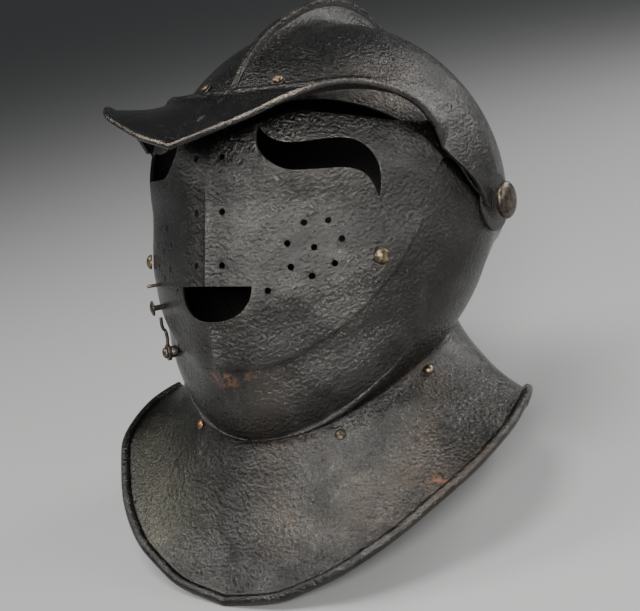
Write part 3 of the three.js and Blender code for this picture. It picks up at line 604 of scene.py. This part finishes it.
def headTree():
    # a hammered dome on every place: rivets and pivots
    net, given, output = newTree("hammeredHeads", [
        ("Segments", "Int", 40), ("Dents", "Float", 0.0001), ("Seed", "Float", 3.0),
        ("Material", "Material", None)])
    ball = net.add("GeometryNodeMeshUVSphere", {},
                   {"Segments": given.outputs["Segments"], "Rings": treeForm["headRings"]})
    x, y, z = net.split(net.add("GeometryNodeInputPosition").outputs[0])
    # the lower half is pressed flat into a short skirt
    shape = net.gather(x, y, z.join("MAXIMUM", -treeForm["headSkirt"]))
    dome = net.add("GeometryNodeSetPosition", {}, {"Geometry": ball.outputs[0], "Position": shape})
    lean = net.add("FunctionNodeAlignRotationToVector", {"axis": "Z"},
                   {"Vector": namedValue(net, "away", "FLOAT_VECTOR")})
    radius = namedValue(net, "radius")
    heads = net.add("GeometryNodeInstanceOnPoints", {}, {
        "Points": given.outputs["Geometry"], "Instance": dome.outputs[0],
        "Rotation": lean.outputs[0], "Scale": net.gather(radius, radius, namedValue(net, "rise"))})
    whole = net.add("GeometryNodeRealizeInstances", {}, {0: heads.outputs[0]})
    dented = beaten(net, whole.outputs[0], given.outputs["Seed"], given.outputs["Dents"],
                    treeForm["headGrain"], treeForm["headMiddle"])
    closeTree(net, output, dented, given.outputs["Material"])
    return net.tree


def boreTree():
    # a drill through every place
    net, given, output = newTree("bores", [
        ("Sides", "Int", 28), ("Depth", "Float", 0.012), ("Material", "Material", None)])
    drill = net.add("GeometryNodeMeshCylinder", {}, {
        "Vertices": given.outputs["Sides"], "Radius": 1.0, "Depth": given.outputs["Depth"]})
    lean = net.add("FunctionNodeAlignRotationToVector", {"axis": "Z"},
                   {"Vector": namedValue(net, "away", "FLOAT_VECTOR")})
    radius = namedValue(net, "radius")
    bores = net.add("GeometryNodeInstanceOnPoints", {}, {
        "Points": given.outputs["Geometry"], "Instance": drill.outputs[0],
        "Rotation": lean.outputs[0], "Scale": net.gather(radius, radius, 1.0)})
    closeTree(net, output, bores.outputs[0], given.outputs["Material"])
    return net.tree


def rollTree():
    # a rolled edge along a line of points, a little uneven as hammered over a wire
    net, given, output = newTree("rolledEdge", [
        ("Radius", "Float", 0.002), ("Unevenness", "Float", 0.0002), ("Seed", "Float", 5.0),
        ("Material", "Material", None)])
    line = net.add("GeometryNodeMeshToCurve", {}, {0: given.outputs["Geometry"]})
    ring = net.add("GeometryNodeCurvePrimitiveCircle", {},
                   {"Resolution": treeForm["rollSides"], "Radius": given.outputs["Radius"]})
    roll = net.add("GeometryNodeCurveToMesh", {}, {
        "Curve": line.outputs[0], "Profile Curve": ring.outputs[0], "Fill Caps": True})
    uneven = beaten(net, roll.outputs[0], given.outputs["Seed"], given.outputs["Unevenness"],
                    treeForm["rollGrain"], treeForm["rollMiddle"])
    closeTree(net, output, uneven, given.outputs["Material"])
    return net.tree


def grown(name, mesh, tree, values):
    # the mesh that a tree makes of this one, with its named inputs set
    piece = objectFrom(mesh, name)
    modifier = piece.modifiers.new("nodes", "NODES")
    modifier.node_group = tree
    for item in tree.interface.items_tree:
        if item.in_out == "INPUT" and item.name in values:
            modifier[item.identifier] = values[item.name]
    made = settled(piece)
    bpy.data.objects.remove(piece)
    return made


headsOf, boresOf, rollOf = headTree(), boreTree(), rollTree()


def markNearLines(mesh, lines, reach, name="wearAndSheen"):
    # how near each point is to a line, from 1 on it to 0: worn edges rubbed bright, which also give a
    # painted highlight, or steps that get painted shade
    points = [toTable(p) for line in lines for p in line]
    tree = kdtree.KDTree(len(points))
    for k, point in enumerate(points):
        tree.insert(point, k)
    tree.balance()
    wearAndSheen = mesh.attributes.new(name, "FLOAT", "POINT")
    for vertex, value in zip(mesh.vertices, wearAndSheen.data):
        value.value = max(0.0, 1 - tree.find(vertex.co)[2] / (reach * 0.001))


def markInsideShade(mesh, flared=False, upward=0.0):
    # painted shade: the faces that look in towards the head, the peak's underside among them, are painted
    # near black
    lift = tableTurn @ Vector((0, 0, upward))
    marks = mesh.attributes.new("insideShade", "FLOAT", "POINT")
    for vertex, mark in zip(mesh.vertices, marks.data):
        out = (vertex.co - stance["pivot"]).normalized() + lift
        if flared:
            level = Vector((vertex.co.x, vertex.co.y - 0.01, 0)).normalized()
            out = level * 0.7 + Vector((0, 0.25, 0.65))
        mark.value = 1.0 if vertex.normal.dot(out.normalized()) < -0.05 else 0.0


def finished(piece, body, nodes, material, sharp=38):
    mesh = piece.data
    mesh.materials.clear()
    mesh.materials.append(material)
    for vertex in mesh.vertices:
        vertex.co.z = max(vertex.co.z, cadBox[0][2])
    for polygon in mesh.polygons:
        polygon.use_smooth = True
    mesh.set_sharp_from_angle(angle=math.radians(sharp))
    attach(piece, body)
    if nodes:
        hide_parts(*nodes)
    print("made", piece.name, len(mesh.polygons), "faces")


def edgeSteps(count, first, last):
    # shares of the way over a plate, with close rows at a rounded edge
    steps = spaced(0, 1, count)
    extra = ([0.004, 0.012] if first else []) + ([0.988, 0.996] if last else [])
    return sorted(steps + extra)


def edgeInset(part, first, last, inset):
    # at a rounded edge the outer skin dips and the inner one rises
    near = min(part if first else 1, 1 - part if last else 1)
    dip = 0.42 if near < 1e-6 else 0.14 if near < 0.005 else 0.0
    return inset + (dip if inset == 0 else -dip)


def plateOf(name, outer, inner, ears=None):
    # a plate between two grids; one that has ears is mirrored
    piece = objectFrom(shellMesh(name, outer, inner, bool(ears)), name)
    if ears:
        combined(piece, earMesh(ears), "UNION")
    return piece


# Camera at the photo's angle; the photo was taken with the camera rolled a little
cameraSet = {
    "eye": (0.3774, -0.5270, 0.3133), "right": (0.8290, 0.5203, -0.2050), "up": (0.0, 0.3665, 0.9304),
    "lens": 68.0, "sensor": 36.0,
}
cameraData = bpy.data.cameras.new("camera")
cameraData.lens, cameraData.sensor_width = cameraSet["lens"], cameraSet["sensor"]
cameraData.clip_start = 0.01
camera = bpy.data.objects.new("camera", cameraData)
bpy.context.scene.collection.objects.link(camera)
sideways = Vector(cameraSet["right"]).normalized()
upwards = (Vector(cameraSet["up"]) - sideways * sideways.dot(Vector(cameraSet["up"]))).normalized()
backwards = sideways.cross(upwards)
turned = Matrix((sideways, upwards, backwards)).transposed().to_4x4()
camera.matrix_world = Matrix.Translation(cameraSet["eye"]) @ turned
bpy.context.scene.camera = camera
print("camera set")

# Floor and soft studio lights
studio = {
    "floor": (0.36, 0.36, 0.355, 1), "floorRough": 0.75, "floorReach": 40.0,
    "world": (0.42, 0.43, 0.45, 1), "worldStrength": 0.2,
    # name, place, what it is turned to, size in metres, watts
    "lights": [
        ("keyLeft", (-0.66, -0.48, 0.78), (0.0, -0.06, 0.10), 0.42, 6.0),
        ("front", (0.62, -1.02, 0.66), (0.0, -0.05, 0.14), 0.34, 17.0),
        ("overhead", (0.02, -0.45, 1.30), (0.0, -0.03, 0.13), 0.55, 12.0),
        ("fillRight", (1.25, 0.15, 0.60), (0.0, 0.0, 0.15), 0.7, 7.0),
        ("rimBack", (0.60, 1.05, 0.80), (0.0, 0.05, 0.18), 0.6, 12.0),
    ],
}
floorMaterial, floorNet, floorOutput = freshMaterial("paleFloor")
floorShader = floorNet.add("ShaderNodeBsdfPrincipled", {}, {
    "Base Color": studio["floor"], "Roughness": studio["floorRough"]})
floorNet.tree.links.new(floorShader.outputs[0], floorOutput.inputs[0])
reach = studio["floorReach"]
corners = [(-reach, -reach, 0), (reach, -reach, 0), (reach, reach, 0), (-reach, reach, 0)]
floorMesh = bpy.data.meshes.new("floor")
floorMesh.from_pydata(corners, [], [(0, 1, 2, 3)])
floorMesh.materials.append(floorMaterial)
objectFrom(floorMesh, "floor")
for name, place, aim, size, power in studio["lights"]:
    lightData = bpy.data.lights.new(name, "AREA")
    lightData.shape, lightData.size, lightData.energy = "DISK", size, power
    light = bpy.data.objects.new(name, lightData)
    bpy.context.scene.collection.objects.link(light)
    light.location = place
    light.rotation_euler = (Vector(aim) - Vector(place)).to_track_quat("-Z", "Y").to_euler()
world = bpy.data.worlds.new("studio")
world.use_nodes = True
world.node_tree.nodes["Background"].inputs[0].default_value = studio["world"]
world.node_tree.nodes["Background"].inputs[1].default_value = studio["worldStrength"]
bpy.context.scene.world = world
print("studio lit")


# Skull: the bowl with its hollow comb, down to the neck
skullForm = {
    "brow": [(0, 25.5), (.2, 26), (.35, 29.5), (.5, 32), (.65, 33), (.8, 30), (1, 24)],
    "browEnd": 37, "napeStart": 201, "combEnd": .075, "jaw": -93, "jawGap": .6, "lap": 3.5,
    "columns": 60, "browRows": 7, "rows": 58, "neckRows": 30, "combRows": (6, 60),
    # the comb's flat border in millimetres, its least share of the height, and its flank
    "combBorder": 4.2, "borderFrom": 6.5, "borderLeast": .35, "flankFall": 2.1,
    "rustPlace": (.72, 48),
}
browAngle = curveOf(skullForm["brow"])
combLines = [(0, 1), (.55, .997), (.85, .985), (1.0, .955), (1.03, .9), (1.06, .5), (1.0, .12),
             (.86, .0)]


def combFlank(high, inset):
    # x and rise over the comb: a flat border along the edge, a crease under it, the hollow flank
    edge, foot = sizes["combEdge"] - inset * .85, sizes["combFoot"] - inset * .5
    border = skullForm["borderLeast"]
    if high > skullForm["borderFrom"]:
        border = max(border, 1 - skullForm["combBorder"] / high)
    line = [(edge * part, mix(border, 1, rise)) for part, rise in combLines]
    for part in (.06, .16, .3, .46, .64, .82, 1.0):
        x = mix(edge * .86, foot, part)
        fall = (1 - part) ** skullForm["flankFall"]
        line.append((x, border * fall * .98))
    return line


def skullGrid(inset):
    wide = sizes["skullHalfWidth"] - inset
    shares = spaced(skullForm["combEnd"], sizes["lastShare"], skullForm["columns"])
    start, nape = skullForm["browEnd"], skullForm["napeStart"]
    rows = [("brow", part) for part in edgeSteps(skullForm["browRows"], True, False)]
    rows += [("middle", angle) for angle in spaced(start, nape, skullForm["rows"])[1:]]
    end = neckTurnAt(skullForm["jaw"] + skullForm["lap"])
    rows += [("neck", turn) for turn in spaced(180, end, skullForm["neckRows"])]
    grid = []
    for kind, value in rows:
        away = edgeInset(value, True, False, inset) if kind == "brow" else inset

        def lineAt(share):
            if kind == "neck":
                return neckRow(value, step + inset)
            angle = value if kind == "middle" else mix(browAngle(share), start, value)
            return middleRow(angle, sizes["browRadius"] * bowlShare(angle) - away)

        first = lineAt(0)
        high = max(0, sizes["combHeight"] * combShare(first["angle"]) - inset * 1.3)
        high = 0 if kind == "neck" else high
        points = []
        for x, rise in combFlank(high, inset):
            arch = math.sqrt(1 - (x / wide) ** 2)
            points.append(polar(first["startX"] + x * (1 - first["lean"]),
                                first["radius"] * arch + high * rise, first["angle"]))
        grid.append(points + [fanPoint(lineAt(share), share, wide) for share in shares])
    return grid


def skullPoint(share, angle):
    radius = sizes["browRadius"] * bowlShare(angle)
    return fanPoint(middleRow(angle, radius), share, sizes["skullHalfWidth"])


skullOuter = skullGrid(0)
skullPlate = plateOf("skullPlate", skullOuter, skullGrid(sizes["plate"]), "skull")
browLine = [skullPoint(share, browAngle(share)) for share in spaced(0, .9, 60)]
combEdgeLine = [line[0] for line in skullOuter[slice(*skullForm["combRows"])]]
markNearLines(skullPlate.data, [mirroredPoints(browLine), combEdgeLine], 2.6)
markInsideShade(skullPlate.data)
skullSpot = toTable(skullPoint(*skullForm["rustPlace"]))
finished(skullPlate, "skull_body", ["skull"],
         plateSteel("skullSteel", [(skullSpot, .018, .45)], strokes=0.9))


# Visor: the face plate, with its eye slits, mouth and breath holes
visorForm = {
    "low": [(0, -38), (.08, -39.4), (.17, -40.6), (.26, -40.4), (.41, -37.4), (.57, -29.4),
            (.66, -16), (.7, -1), (.735, 23), (.8, 25), (.88, 12), (.94, 0)],
    "high": [(0, 20.5), (.08, 20.5), (.17, 21), (.26, 21.5), (.41, 23.5), (.57, 29), (.66, 38),
             (.7, 46), (.735, 54), (.8, 62), (.88, 72), (.94, 80)],
    "eyeTop": [(.243, .335), (.262, .31), (.305, .268), (.365, .24), (.44, .236), (.52, .25), (.6, .26),
               (.665, .245), (.715, .195), (.744, .12), (.746, .03), (.733, -.03)],
    "eyeLow": [(.733, -.03), (.72, .03), (.695, .082), (.655, .108), (.6, .112), (.49, .103), (.39, .104),
               (.325, .135), (.27, .19), (.245, .25), (.243, .335)],
    "mouth": {"halfWidth": 22, "top": 46, "depth": 17.5, "squareness": .8}, "cutDepths": (54, 156),
    "hole": 1.65, "holeSides": 28, "drillLength": 0.012,
    "noseHoles": (.052, (8.4, -4.7, -17)), "mouthHole": (.186, -24.2),
    "rosette": {"share": .32, "angle": -15.8, "start": 112, "radius": 13.8, "count": 7},
    "columns": 100, "rows": 52,
}
visorLow, visorHigh = curveOf(visorForm["low"]), curveOf(visorForm["high"])


def visorPoint(share, angle, inset=0.0):
    radius = sizes["noseRadius"] * faceShare(angle) - inset
    return fanPoint(middleRow(angle, radius, pinchShare(angle)), share, halfWidthOf("visor") - inset)


def placeOn(pointAt, share, angle, side):
    # place and directions on a plate, on either side of the middle
    place = pointAt(share, angle)
    right = (pointAt(share + .01, angle) - pointAt(share - .01, angle)).normalized()
    up = (pointAt(share, angle + 1) - pointAt(share, angle - 1)).normalized()
    away = right.cross(up).normalized()
    for vector in (place, right, up, away):
        vector.x *= side
    return place, right, up, away


def visorGrid(inset):
    grid = []
    for part in edgeSteps(visorForm["rows"], True, True):
        deep = edgeInset(part, True, True, inset)
        grid.append([visorPoint(share, mix(visorLow(share), visorHigh(share), part), deep)
                     for share in spaced(0, sizes["lastShare"], visorForm["columns"])])
    return grid


visorPlate = plateOf("visorPlate", visorGrid(0), visorGrid(sizes["plate"]), "visor")
visorWide, mouth = halfWidthOf("visor"), visorForm["mouth"]
eyeLine = through(visorForm["eyeTop"]) + through(visorForm["eyeLow"])
mouthLine = []
for turn in spaced(180, 360, 48):
    over = math.cos(math.radians(turn))
    mouthLine.append((mouth["halfWidth"] * math.copysign(abs(over) ** mouth["squareness"], over),
                      -mouth["top"] + mouth["depth"] * math.sin(math.radians(turn))))
openings = [[(p.x * visorWide * side, p.y * visorWide) for p in eyeLine] for side in (1, -1)]
openings.append(mouthLine)
combined(visorPlate, prismMesh(openings, *visorForm["cutDepths"]), "DIFFERENCE")
holes = []
for side in (1, -1):
    share, angles = visorForm["noseHoles"]
    spots = [(share, angle) for angle in angles] + [visorForm["mouthHole"]]
    for share, angle in spots:
        place, _, _, away = placeOn(visorPoint, share, angle, side)
        holes.append({"place": place, "away": away})
    ring = visorForm["rosette"]
    place, right, up, away = placeOn(visorPoint, ring["share"], ring["angle"], side)
    holes.append({"place": place, "away": away})
    for k in range(ring["count"]):
        turn = math.radians(ring["start"] + 360 * k / ring["count"])
        spot = place + right * (ring["radius"] * math.cos(turn))
        spot = spot + up * (ring["radius"] * math.sin(turn))
        holes.append({"place": spot, "away": away})
for hole in holes:
    hole.update(radius=visorForm["hole"], rise=0)
drills = grown("breathHoles", placeMesh(holes), boresOf, {
    "Sides": visorForm["holeSides"], "Depth": visorForm["drillLength"], "Material": wornMetal})
combined(visorPlate, drills, "DIFFERENCE")


def plateLine(pointAt, edge):
    shares = spaced(0, sizes["lastShare"], 160)
    return mirroredPoints([pointAt(share, edge(share)) for share in shares])


def cutLine(outline):
    # the cut's outline laid on the visor's outer face
    points = []
    for x, z in outline:
        share = math.degrees(math.asin(min(.99, abs(x) / visorWide))) / 90
        low, high = -60.0, 60.0
        for _ in range(30):
            middle = (low + high) / 2
            if visorPoint(share, middle).z < z:
                low = middle
            else:
                high = middle
        spot = visorPoint(share, low)
        points.append(Vector((math.copysign(spot.x, x), spot.y, spot.z)))
    return points


visorEdgeLines = [plateLine(visorPoint, visorLow), plateLine(visorPoint, visorHigh)]
visorEdgeLines += [cutLine(outline) for outline in openings]
markNearLines(visorPlate.data, visorEdgeLines, 1.7)
markInsideShade(visorPlate.data)
finished(visorPlate, "visor_body", ["visor"], plateSteel("visorSteel", strokes=0.25))


# Bevor: chin and cheeks, up under the visor
bevorForm = {
    "top": [(0, -33.5), (.17, -35), (.41, -31.5), (.57, -23), (.66, -8), (.71, 12), (.76, 33),
            (.84, 42), (.93, 48)],
    "columns": 84, "rows": 30, "neckRows": 34, "neckEnd": 4,
    # over so many degrees above the neck the bevor dips under the visor
    "dip": 14,
}
bevorHigh = curveOf(bevorForm["top"])


def bevorPoint(share, angle, inset=0.0):
    below = step * smooth((angle - neckAngle(0)) / bevorForm["dip"])
    radius = sizes["noseRadius"] * faceShare(angle) - below - inset
    return fanPoint(middleRow(angle, radius, pinchShare(angle)), share, halfWidthOf("bevor") - inset)


def bevorGrid(inset):
    shares, wide = spaced(0, sizes["lastShare"], bevorForm["columns"]), halfWidthOf("bevor") - inset
    rear = neckTurnAt(skullForm["jaw"] + skullForm["jawGap"])
    grid = [[fanPoint(neckRow(turn, inset, False), share, wide) for share in shares]
            for turn in spaced(rear, bevorForm["neckEnd"], bevorForm["neckRows"])]
    for part in edgeSteps(bevorForm["rows"], False, True):
        deep = edgeInset(part, False, True, inset)
        grid.append([bevorPoint(share, mix(neckAngle(0), bevorHigh(share), part), deep)
                     for share in shares])
    return grid


bevorPlate = plateOf("bevorPlate", bevorGrid(0), bevorGrid(sizes["plate"]), "bevor")
neckLine = [neckPoint(turn) for turn in spaced(-100, 100, 160)]
markNearLines(bevorPlate.data, [plateLine(bevorPoint, bevorHigh), neckLine], 1.5)
# painted shade on the bevor just under the visor's lower edge
markNearLines(bevorPlate.data, [visorEdgeLines[0]], 4.5, "paintedStepShade")
markInsideShade(bevorPlate.data)
chinSpots = [(toTable(bevorPoint(.02, -41.5)), .008, .8),
             (toTable(Vector((-1, 1, 1)) * Vector(bevorPoint(.04, -41.5))), .008, .8),
             (toTable(bevorPoint(.09, -41.5)), .006, .5)]
finished(bevorPlate, "bevor_body", ["bevor"], plateSteel("bevorSteel", chinSpots, strokes=0.2))


# Peak: arms over the visor, and a bill with a rolled rim
peakForm = {
    # share, root, bend, side, reach, rim
    "bill": [(0, 28, 25.5, 0, 1, 7.8), (.13, 28.6, 26.2, .221, .982, 10.4),
             (.25, 30.5, 27.8, .41, .946, 13.7), (.36, 35, 30.8, .6, .914, 17.8),
             (.46, 40.5, 35, .758, .835, 23), (.55, 47, 39, .884, .706, 27.6),
             (.62, 54, 42, .958, .559, 31), (.67, 59, 43, .99, .446, 30.5)],
    # share, root, low
    "arm": [(.71, 63, 26), (.757, 69, 23.4), (.805, 75, 21), (.858, 82, 15), (.9, 88, 3),
            (.93, 94, -20)],
    "billEnd": .67, "armStart": .71, "billColumns": 64, "armColumns": 30, "across": 26,
    # part of the way from the root to the rim at which the bill bends
    "bendPart": .4, "rootAngle": 60, "armAngle": 30, "roll": 1.8, "thinned": [1.1, .75, .45, .2],
    "standOff": 2.0, "hammered": 5,
}
billRoot, billBend, billSide, billReach, billRim = curvesOf(peakForm["bill"])
armRoot, armLow = curvesOf(peakForm["arm"])
rootAngle = peakForm["rootAngle"]
rootRadius = (sizes["browRadius"] * bowlShare(rootAngle) + sizes["combHeight"] * combShare(rootAngle)
              + sizes["combPass"] + sizes["plate"])


def peakPoint(share, angle):
    arms = sizes["noseRadius"] * faceShare(peakForm["armAngle"]) + step
    radius = mix(rootRadius, arms, smooth(share / .5))
    return fanPoint(middleRow(angle, radius), share, halfWidthOf("peak"))


def rimPointOf(share):
    side, reach = billSide(share) * sizes["skullHalfWidth"], billReach(share) * sizes["peakReach"]
    return polar(side, reach, billRim(share))


def peakGrid():
    parts = spaced(0, 1, peakForm["across"])
    fold, billColumns = peakForm["bendPart"], peakForm["billColumns"]
    grid = []
    for share in spaced(0, peakForm["billEnd"], billColumns):
        root, bend, rim = billRoot(share), peakPoint(share, billBend(share)), rimPointOf(share)
        grid.append([peakPoint(share, mix(root, billBend(share), part / fold)) if part < fold
                     else bend.lerp(rim, (part - fold) / (1 - fold)) for part in parts])
    arms = [[peakPoint(share, mix(armRoot(share), armLow(share), part)) for part in parts]
            for share in spaced(peakForm["armStart"], sizes["lastShare"], peakForm["armColumns"])]
    bridge = [[first.lerp(last, t) for first, last in zip(grid[-1], arms[0])] for t in (.25, .5, .75)]
    grid += bridge + arms
    normals = gridNormals(grid)
    for i in range(billColumns + 1, len(grid)):
        # the arm's lower edge stands a little off the visor
        off = peakForm["standOff"] * smooth((i - billColumns) / 4) * smooth((len(grid) - i) / 14)
        grid[i] = [p + n * off * smooth((part - .45) / .55)
                   for p, n, part in zip(grid[i], normals[i], parts)]
    for _ in range(peakForm["hammered"]):
        # the fold between the arms and the bill is hammered round
        grid = [[line[0]] + [line[k] * .5 + (line[k - 1] + line[k + 1]) * .25
                             for k in range(1, len(line) - 1)] + [line[-1]] for line in grid]
    return grid


peakOuter = peakGrid()
peakInner = moved(peakOuter, -sizes["plate"])
for line, deeper in zip(peakOuter, moved(peakOuter, -1)):
    # the root is filed thin where it lies on the skull
    for k, thin in enumerate(peakForm["thinned"]):
        line[k] = line[k].lerp(deeper[k], thin)
peakPlate = plateOf("peakPlate", peakOuter, peakInner, "peak")
rimLine = [rimPointOf(share) for share in spaced(0, peakForm["billEnd"], 90)]
rimLine = [Vector((-p.x, p.y, p.z)) for p in reversed(rimLine[1:])] + rimLine


def rolled(name, points, radius, material, seed):
    line = bpy.data.meshes.new(name)
    line.from_pydata([toTable(p) for p in points], [(k, k + 1) for k in range(len(points) - 1)], [])
    return objectFrom(grown(name, line, rollOf, {
        "Radius": radius * .001, "Unevenness": .00035, "Seed": seed, "Material": material}), name)


peakSteel = plateSteel("peakSteel", strokes=0.2)
# the rolled rims get much more rubbed bright metal, wear and painted highlight together
rollSteel = plateSteel("rolledEdgeSteel", strokes=0.1, rubbedAndSheen=0.8)
peakRoll = rolled("peakRoll", rimLine, peakForm["roll"], rollSteel, 5.0)
armEdge = mirroredPoints([line[-1] for line in peakOuter[peakForm["billColumns"]:]])
markNearLines(peakPlate.data, [rimLine, armEdge], 1.6)
markInsideShade(peakPlate.data, upward=1.6)
# on the peak's roll the rubbed bright band, also a painted highlight, sits on its front and upper side
markNearLines(peakRoll.data, [[p + Vector((0, -1.2, .4)) for p in rimLine]], 2.4)
finished(peakPlate, "peak_body", ["peak"], peakSteel)
finished(peakRoll, "peak_body", [], rollSteel, sharp=60)


# Neck plates: flared, with rolled rims
neckPlateForm = {
    "halfWidth": 118, "reach": 104, "drop": 203, "seam": 93, "lap": 8, "roll": 2.9,
    # turn, side, back, rise
    "rim": [(0, 0, -1, 0), (17.9, .254, -.986, .024), (27.3, .394, -.957, .053),
            (37.2, .547, -.913, .094), (49.3, .72, -.798, .151), (60.8, .864, -.644, .211),
            (67.5, .941, -.538, .244), (75, .983, -.394, .267), (83.7, 1, -.221, .283),
            (93.5, .975, -.029, .287), (102.8, .932, .144, .276), (117.3, .822, .385, .213),
            (132, .678, .596, .108), (146, .49, .735, .016), (158, .31, .825, 0),
            (180, 0, .885, 0)],
    "columns": 150, "rows": 44,
    # the rear plate is cut short where it runs under the front one
    "shortPart": .86, "shortFrom": 85, "shortOver": 10, "rearRollFrom": 95, "lapFade": 14,
}
rimSide, rimBack, rimRise = curvesOf(neckPlateForm["rim"])


def gorgetRim(turn):
    around = abs(turn)
    y = rimBack(around) * neckPlateForm["reach"]
    lean = math.tan(math.radians(stance["tilt"]))
    z = -neckPlateForm["drop"] + lean * (y + neckPlateForm["reach"])
    x = math.copysign(rimSide(around) * neckPlateForm["halfWidth"], turn)
    return Vector((x, y, z + rimRise(around) * neckPlateForm["drop"]))


def gorgetPoint(turn, part):
    neck = neckPoint(turn, sizes["plate"] + sizes["collarGap"])
    neck.z -= sizes["plate"]
    if part <= 0:
        return neck + Vector((0, 0, -part * sizes["collar"]))
    rim, out = gorgetRim(turn), part ** 1.25
    down = mix(part, 1 - (1 - part) ** 1.6, .5)
    return Vector((mix(neck.x, rim.x, out), mix(neck.y, rim.y, out), mix(neck.z, rim.z, down)))


gorgetParts = [-1, -.6, -.25] + [t ** 1.2 for t in spaced(0, 1, neckPlateForm["rows"])]


seam = neckPlateForm["seam"]
neckSpots = [(toTable(gorgetPoint(62, .9)), .012, .7)]
oliveSpots = [(toTable(gorgetPoint(*spot)), .055, .55) for spot in ((-64, .7), (-40, .75))]
neckSteel = plateSteel("neckPlateSteel", neckSpots, oliveSpots, strokes=0.15)


def neckPlate(name, grid, rim, body, node, seed, shadedLines=()):
    plate = plateOf(name + "Plate", grid, moved(grid, -sizes["plate"]))
    roll = rolled(name + "Roll", rim, neckPlateForm["roll"], rollSteel, seed)
    markNearLines(plate.data, [rim], 2.2)
    # on the neck rolls the rubbed bright band, also a painted highlight, sits on their upper side
    markNearLines(roll.data, [[p + Vector((0, 0, 1.9)) for p in rim]], 2.8)
    # painted shade along the given lines, where the plate above meets this one
    if shadedLines:
        markNearLines(plate.data, shadedLines, 6, "paintedStepShade")
    markInsideShade(plate.data, True)
    finished(plate, body, [node], neckSteel)
    finished(roll, body, [], rollSteel, sharp=60)


frontTurns = spaced(-seam, seam, neckPlateForm["columns"])
frontGrid = [[gorgetPoint(turn, part) for part in gorgetParts] for turn in frontTurns]
frontRim = [gorgetRim(turn) for turn in frontTurns]
neckPlate("gorgetFront", frontGrid, frontRim, "bevor_body", "gorget_front", 9.0, [neckLine])

rearStart = seam - neckPlateForm["lap"]
rearTurns = spaced(rearStart, 360 - rearStart, neckPlateForm["columns"])
rearSigned = [turn - 360 if turn > 180 else turn for turn in rearTurns]


def rearPart(turn, part):
    way = clamp((abs(turn) - neckPlateForm["shortFrom"]) / neckPlateForm["shortOver"])
    return min(part, mix(neckPlateForm["shortPart"], 1, way))


rearBase = [[gorgetPoint(turn, rearPart(turn, part)) for part in gorgetParts] for turn in rearSigned]
rearGrid = []
for turn, line, normals in zip(rearSigned, rearBase, gridNormals(rearBase)):
    lapped = 1 - smooth((abs(turn) - seam - 3) / neckPlateForm["lapFade"])
    rearGrid.append([p - n * step * max(lapped, 1 - smooth(part / .5))
                     for p, n, part in zip(line, normals, gorgetParts)])
rearRim = [line[-1] for turn, line in zip(rearSigned, rearGrid)
           if abs(turn) > neckPlateForm["rearRollFrom"]]
neckPlate("gorgetRear", rearGrid, rearRim, "skull_body", "gorget_rear", 13.0)


# Rivets and pivots: hammered domes on their places
rivetForm = {
    "segments": 40, "dents": .00035, "risePart": .86,
    "pivot": {"radius": 10, "rise": 4.8, "seat": 1.8},
    "brow": {"radius": 2.6, "rise": 1.5, "seat": 1.4, "at": (.155, 32)},
    "cheek": {"radius": 4.1, "rise": 3.0, "seat": .7, "at": (.53, -22.5)},
    "neck": {"radius": 2.7, "rise": 2.4, "seat": .35, "at": (77, .12)},
}


def gorgetPlace(turn, part):
    along = gorgetPoint(turn + 1, part) - gorgetPoint(turn - 1, part)
    down = gorgetPoint(turn, part + .02) - gorgetPoint(turn, part - .02)
    return gorgetPoint(turn, part), down.cross(along).normalized()


def headRow(kind, place, away):
    form = rivetForm[kind]
    lift = form["seat"] + treeForm["headSkirt"] * form["rise"]
    return {"place": place + away * lift, "away": away, "radius": form["radius"],
            "rise": form["rise"] * rivetForm["risePart"]}


def bothSides(kind, pointAt):
    rows = []
    for side in (1, -1):
        place, _, _, away = placeOn(pointAt, *rivetForm[kind]["at"], side)
        rows.append(headRow(kind, place, away))
    return rows


def heads(name, rows, body, nodes, material, finish, seed):
    mesh = grown(name, placeMesh(rows), headsOf, {
        "Segments": rivetForm["segments"], "Dents": rivetForm["dents"], "Seed": seed,
        "Material": material})
    finished(objectFrom(mesh, name), body, nodes, material, 50)


pivotRows = [headRow("pivot", Vector((side * halfWidthOf("peak"), 0, 0)), Vector((side, 0, 0)))
             for side in (1, -1)]
heads("pivotHeads", pivotRows, "skull_body", ["pivot_left", "pivot_right"],
      wornMetal, "worn_steel", 2.0)
heads("browRivets", bothSides("brow", skullPoint), "skull_body",
      ["brow_rivet_left", "brow_rivet_right"], brassMetal, "worn_steel", 4.0)
heads("cheekRivets", bothSides("cheek", visorPoint), "visor_body",
      ["cheek_rivet_left", "cheek_rivet_right"], brassMetal, "worn_steel", 6.0)
heads("neckRivet", [headRow("neck", *gorgetPlace(*rivetForm["neck"]["at"]))], "bevor_body",
      ["neck_rivet_side"], brassMetal, "old_brass", 8.0)


# Small turned and bent fittings keep the frame's shapes, with their corners eased
easing = {"width": .00018, "segments": 2, "angle": 38}
fittings = {
    "washers": ("skull_body", ["pivot_washer_left", "pivot_washer_right", "brow_washer_left",
                               "brow_washer_right"], wornMetal, "worn_steel"),
    "latchStud": ("visor_body", ["latch_stud", "latch_pin"], wornMetal, "worn_steel"),
    "latchHook": ("hook_body", ["hook_arm"], wornMetal, "worn_steel"),
    "latchSeat": ("bevor_body", ["latch_spacer", "latch_rivet"], wornMetal, "worn_steel"),
    "hollowRivetBrass": ("bevor_body", ["neck_rivet_left"], brassMetal, "old_brass"),
    "hollowRivetCopper": ("bevor_body", ["neck_rivet_right"], copperMetal, "old_copper"),
}
for name, (body, nodes, material, finish) in fittings.items():
    work = bmesh.new()
    for node in nodes:
        work.from_mesh(frame["nodes"][node].data)
    bmesh.ops.remove_doubles(work, verts=work.verts, dist=2e-6)
    fitting = objectFrom(meshFrom(work, name), name)
    eased = fitting.modifiers.new("eased", "BEVEL")
    eased.width, eased.segments = easing["width"], easing["segments"]
    eased.limit_method, eased.angle_limit = "ANGLE", math.radians(easing["angle"])
    mesh = settled(fitting)
    fitting.modifiers.clear()
    fitting.data = mesh
    finished(fitting, body, nodes, material, 50)
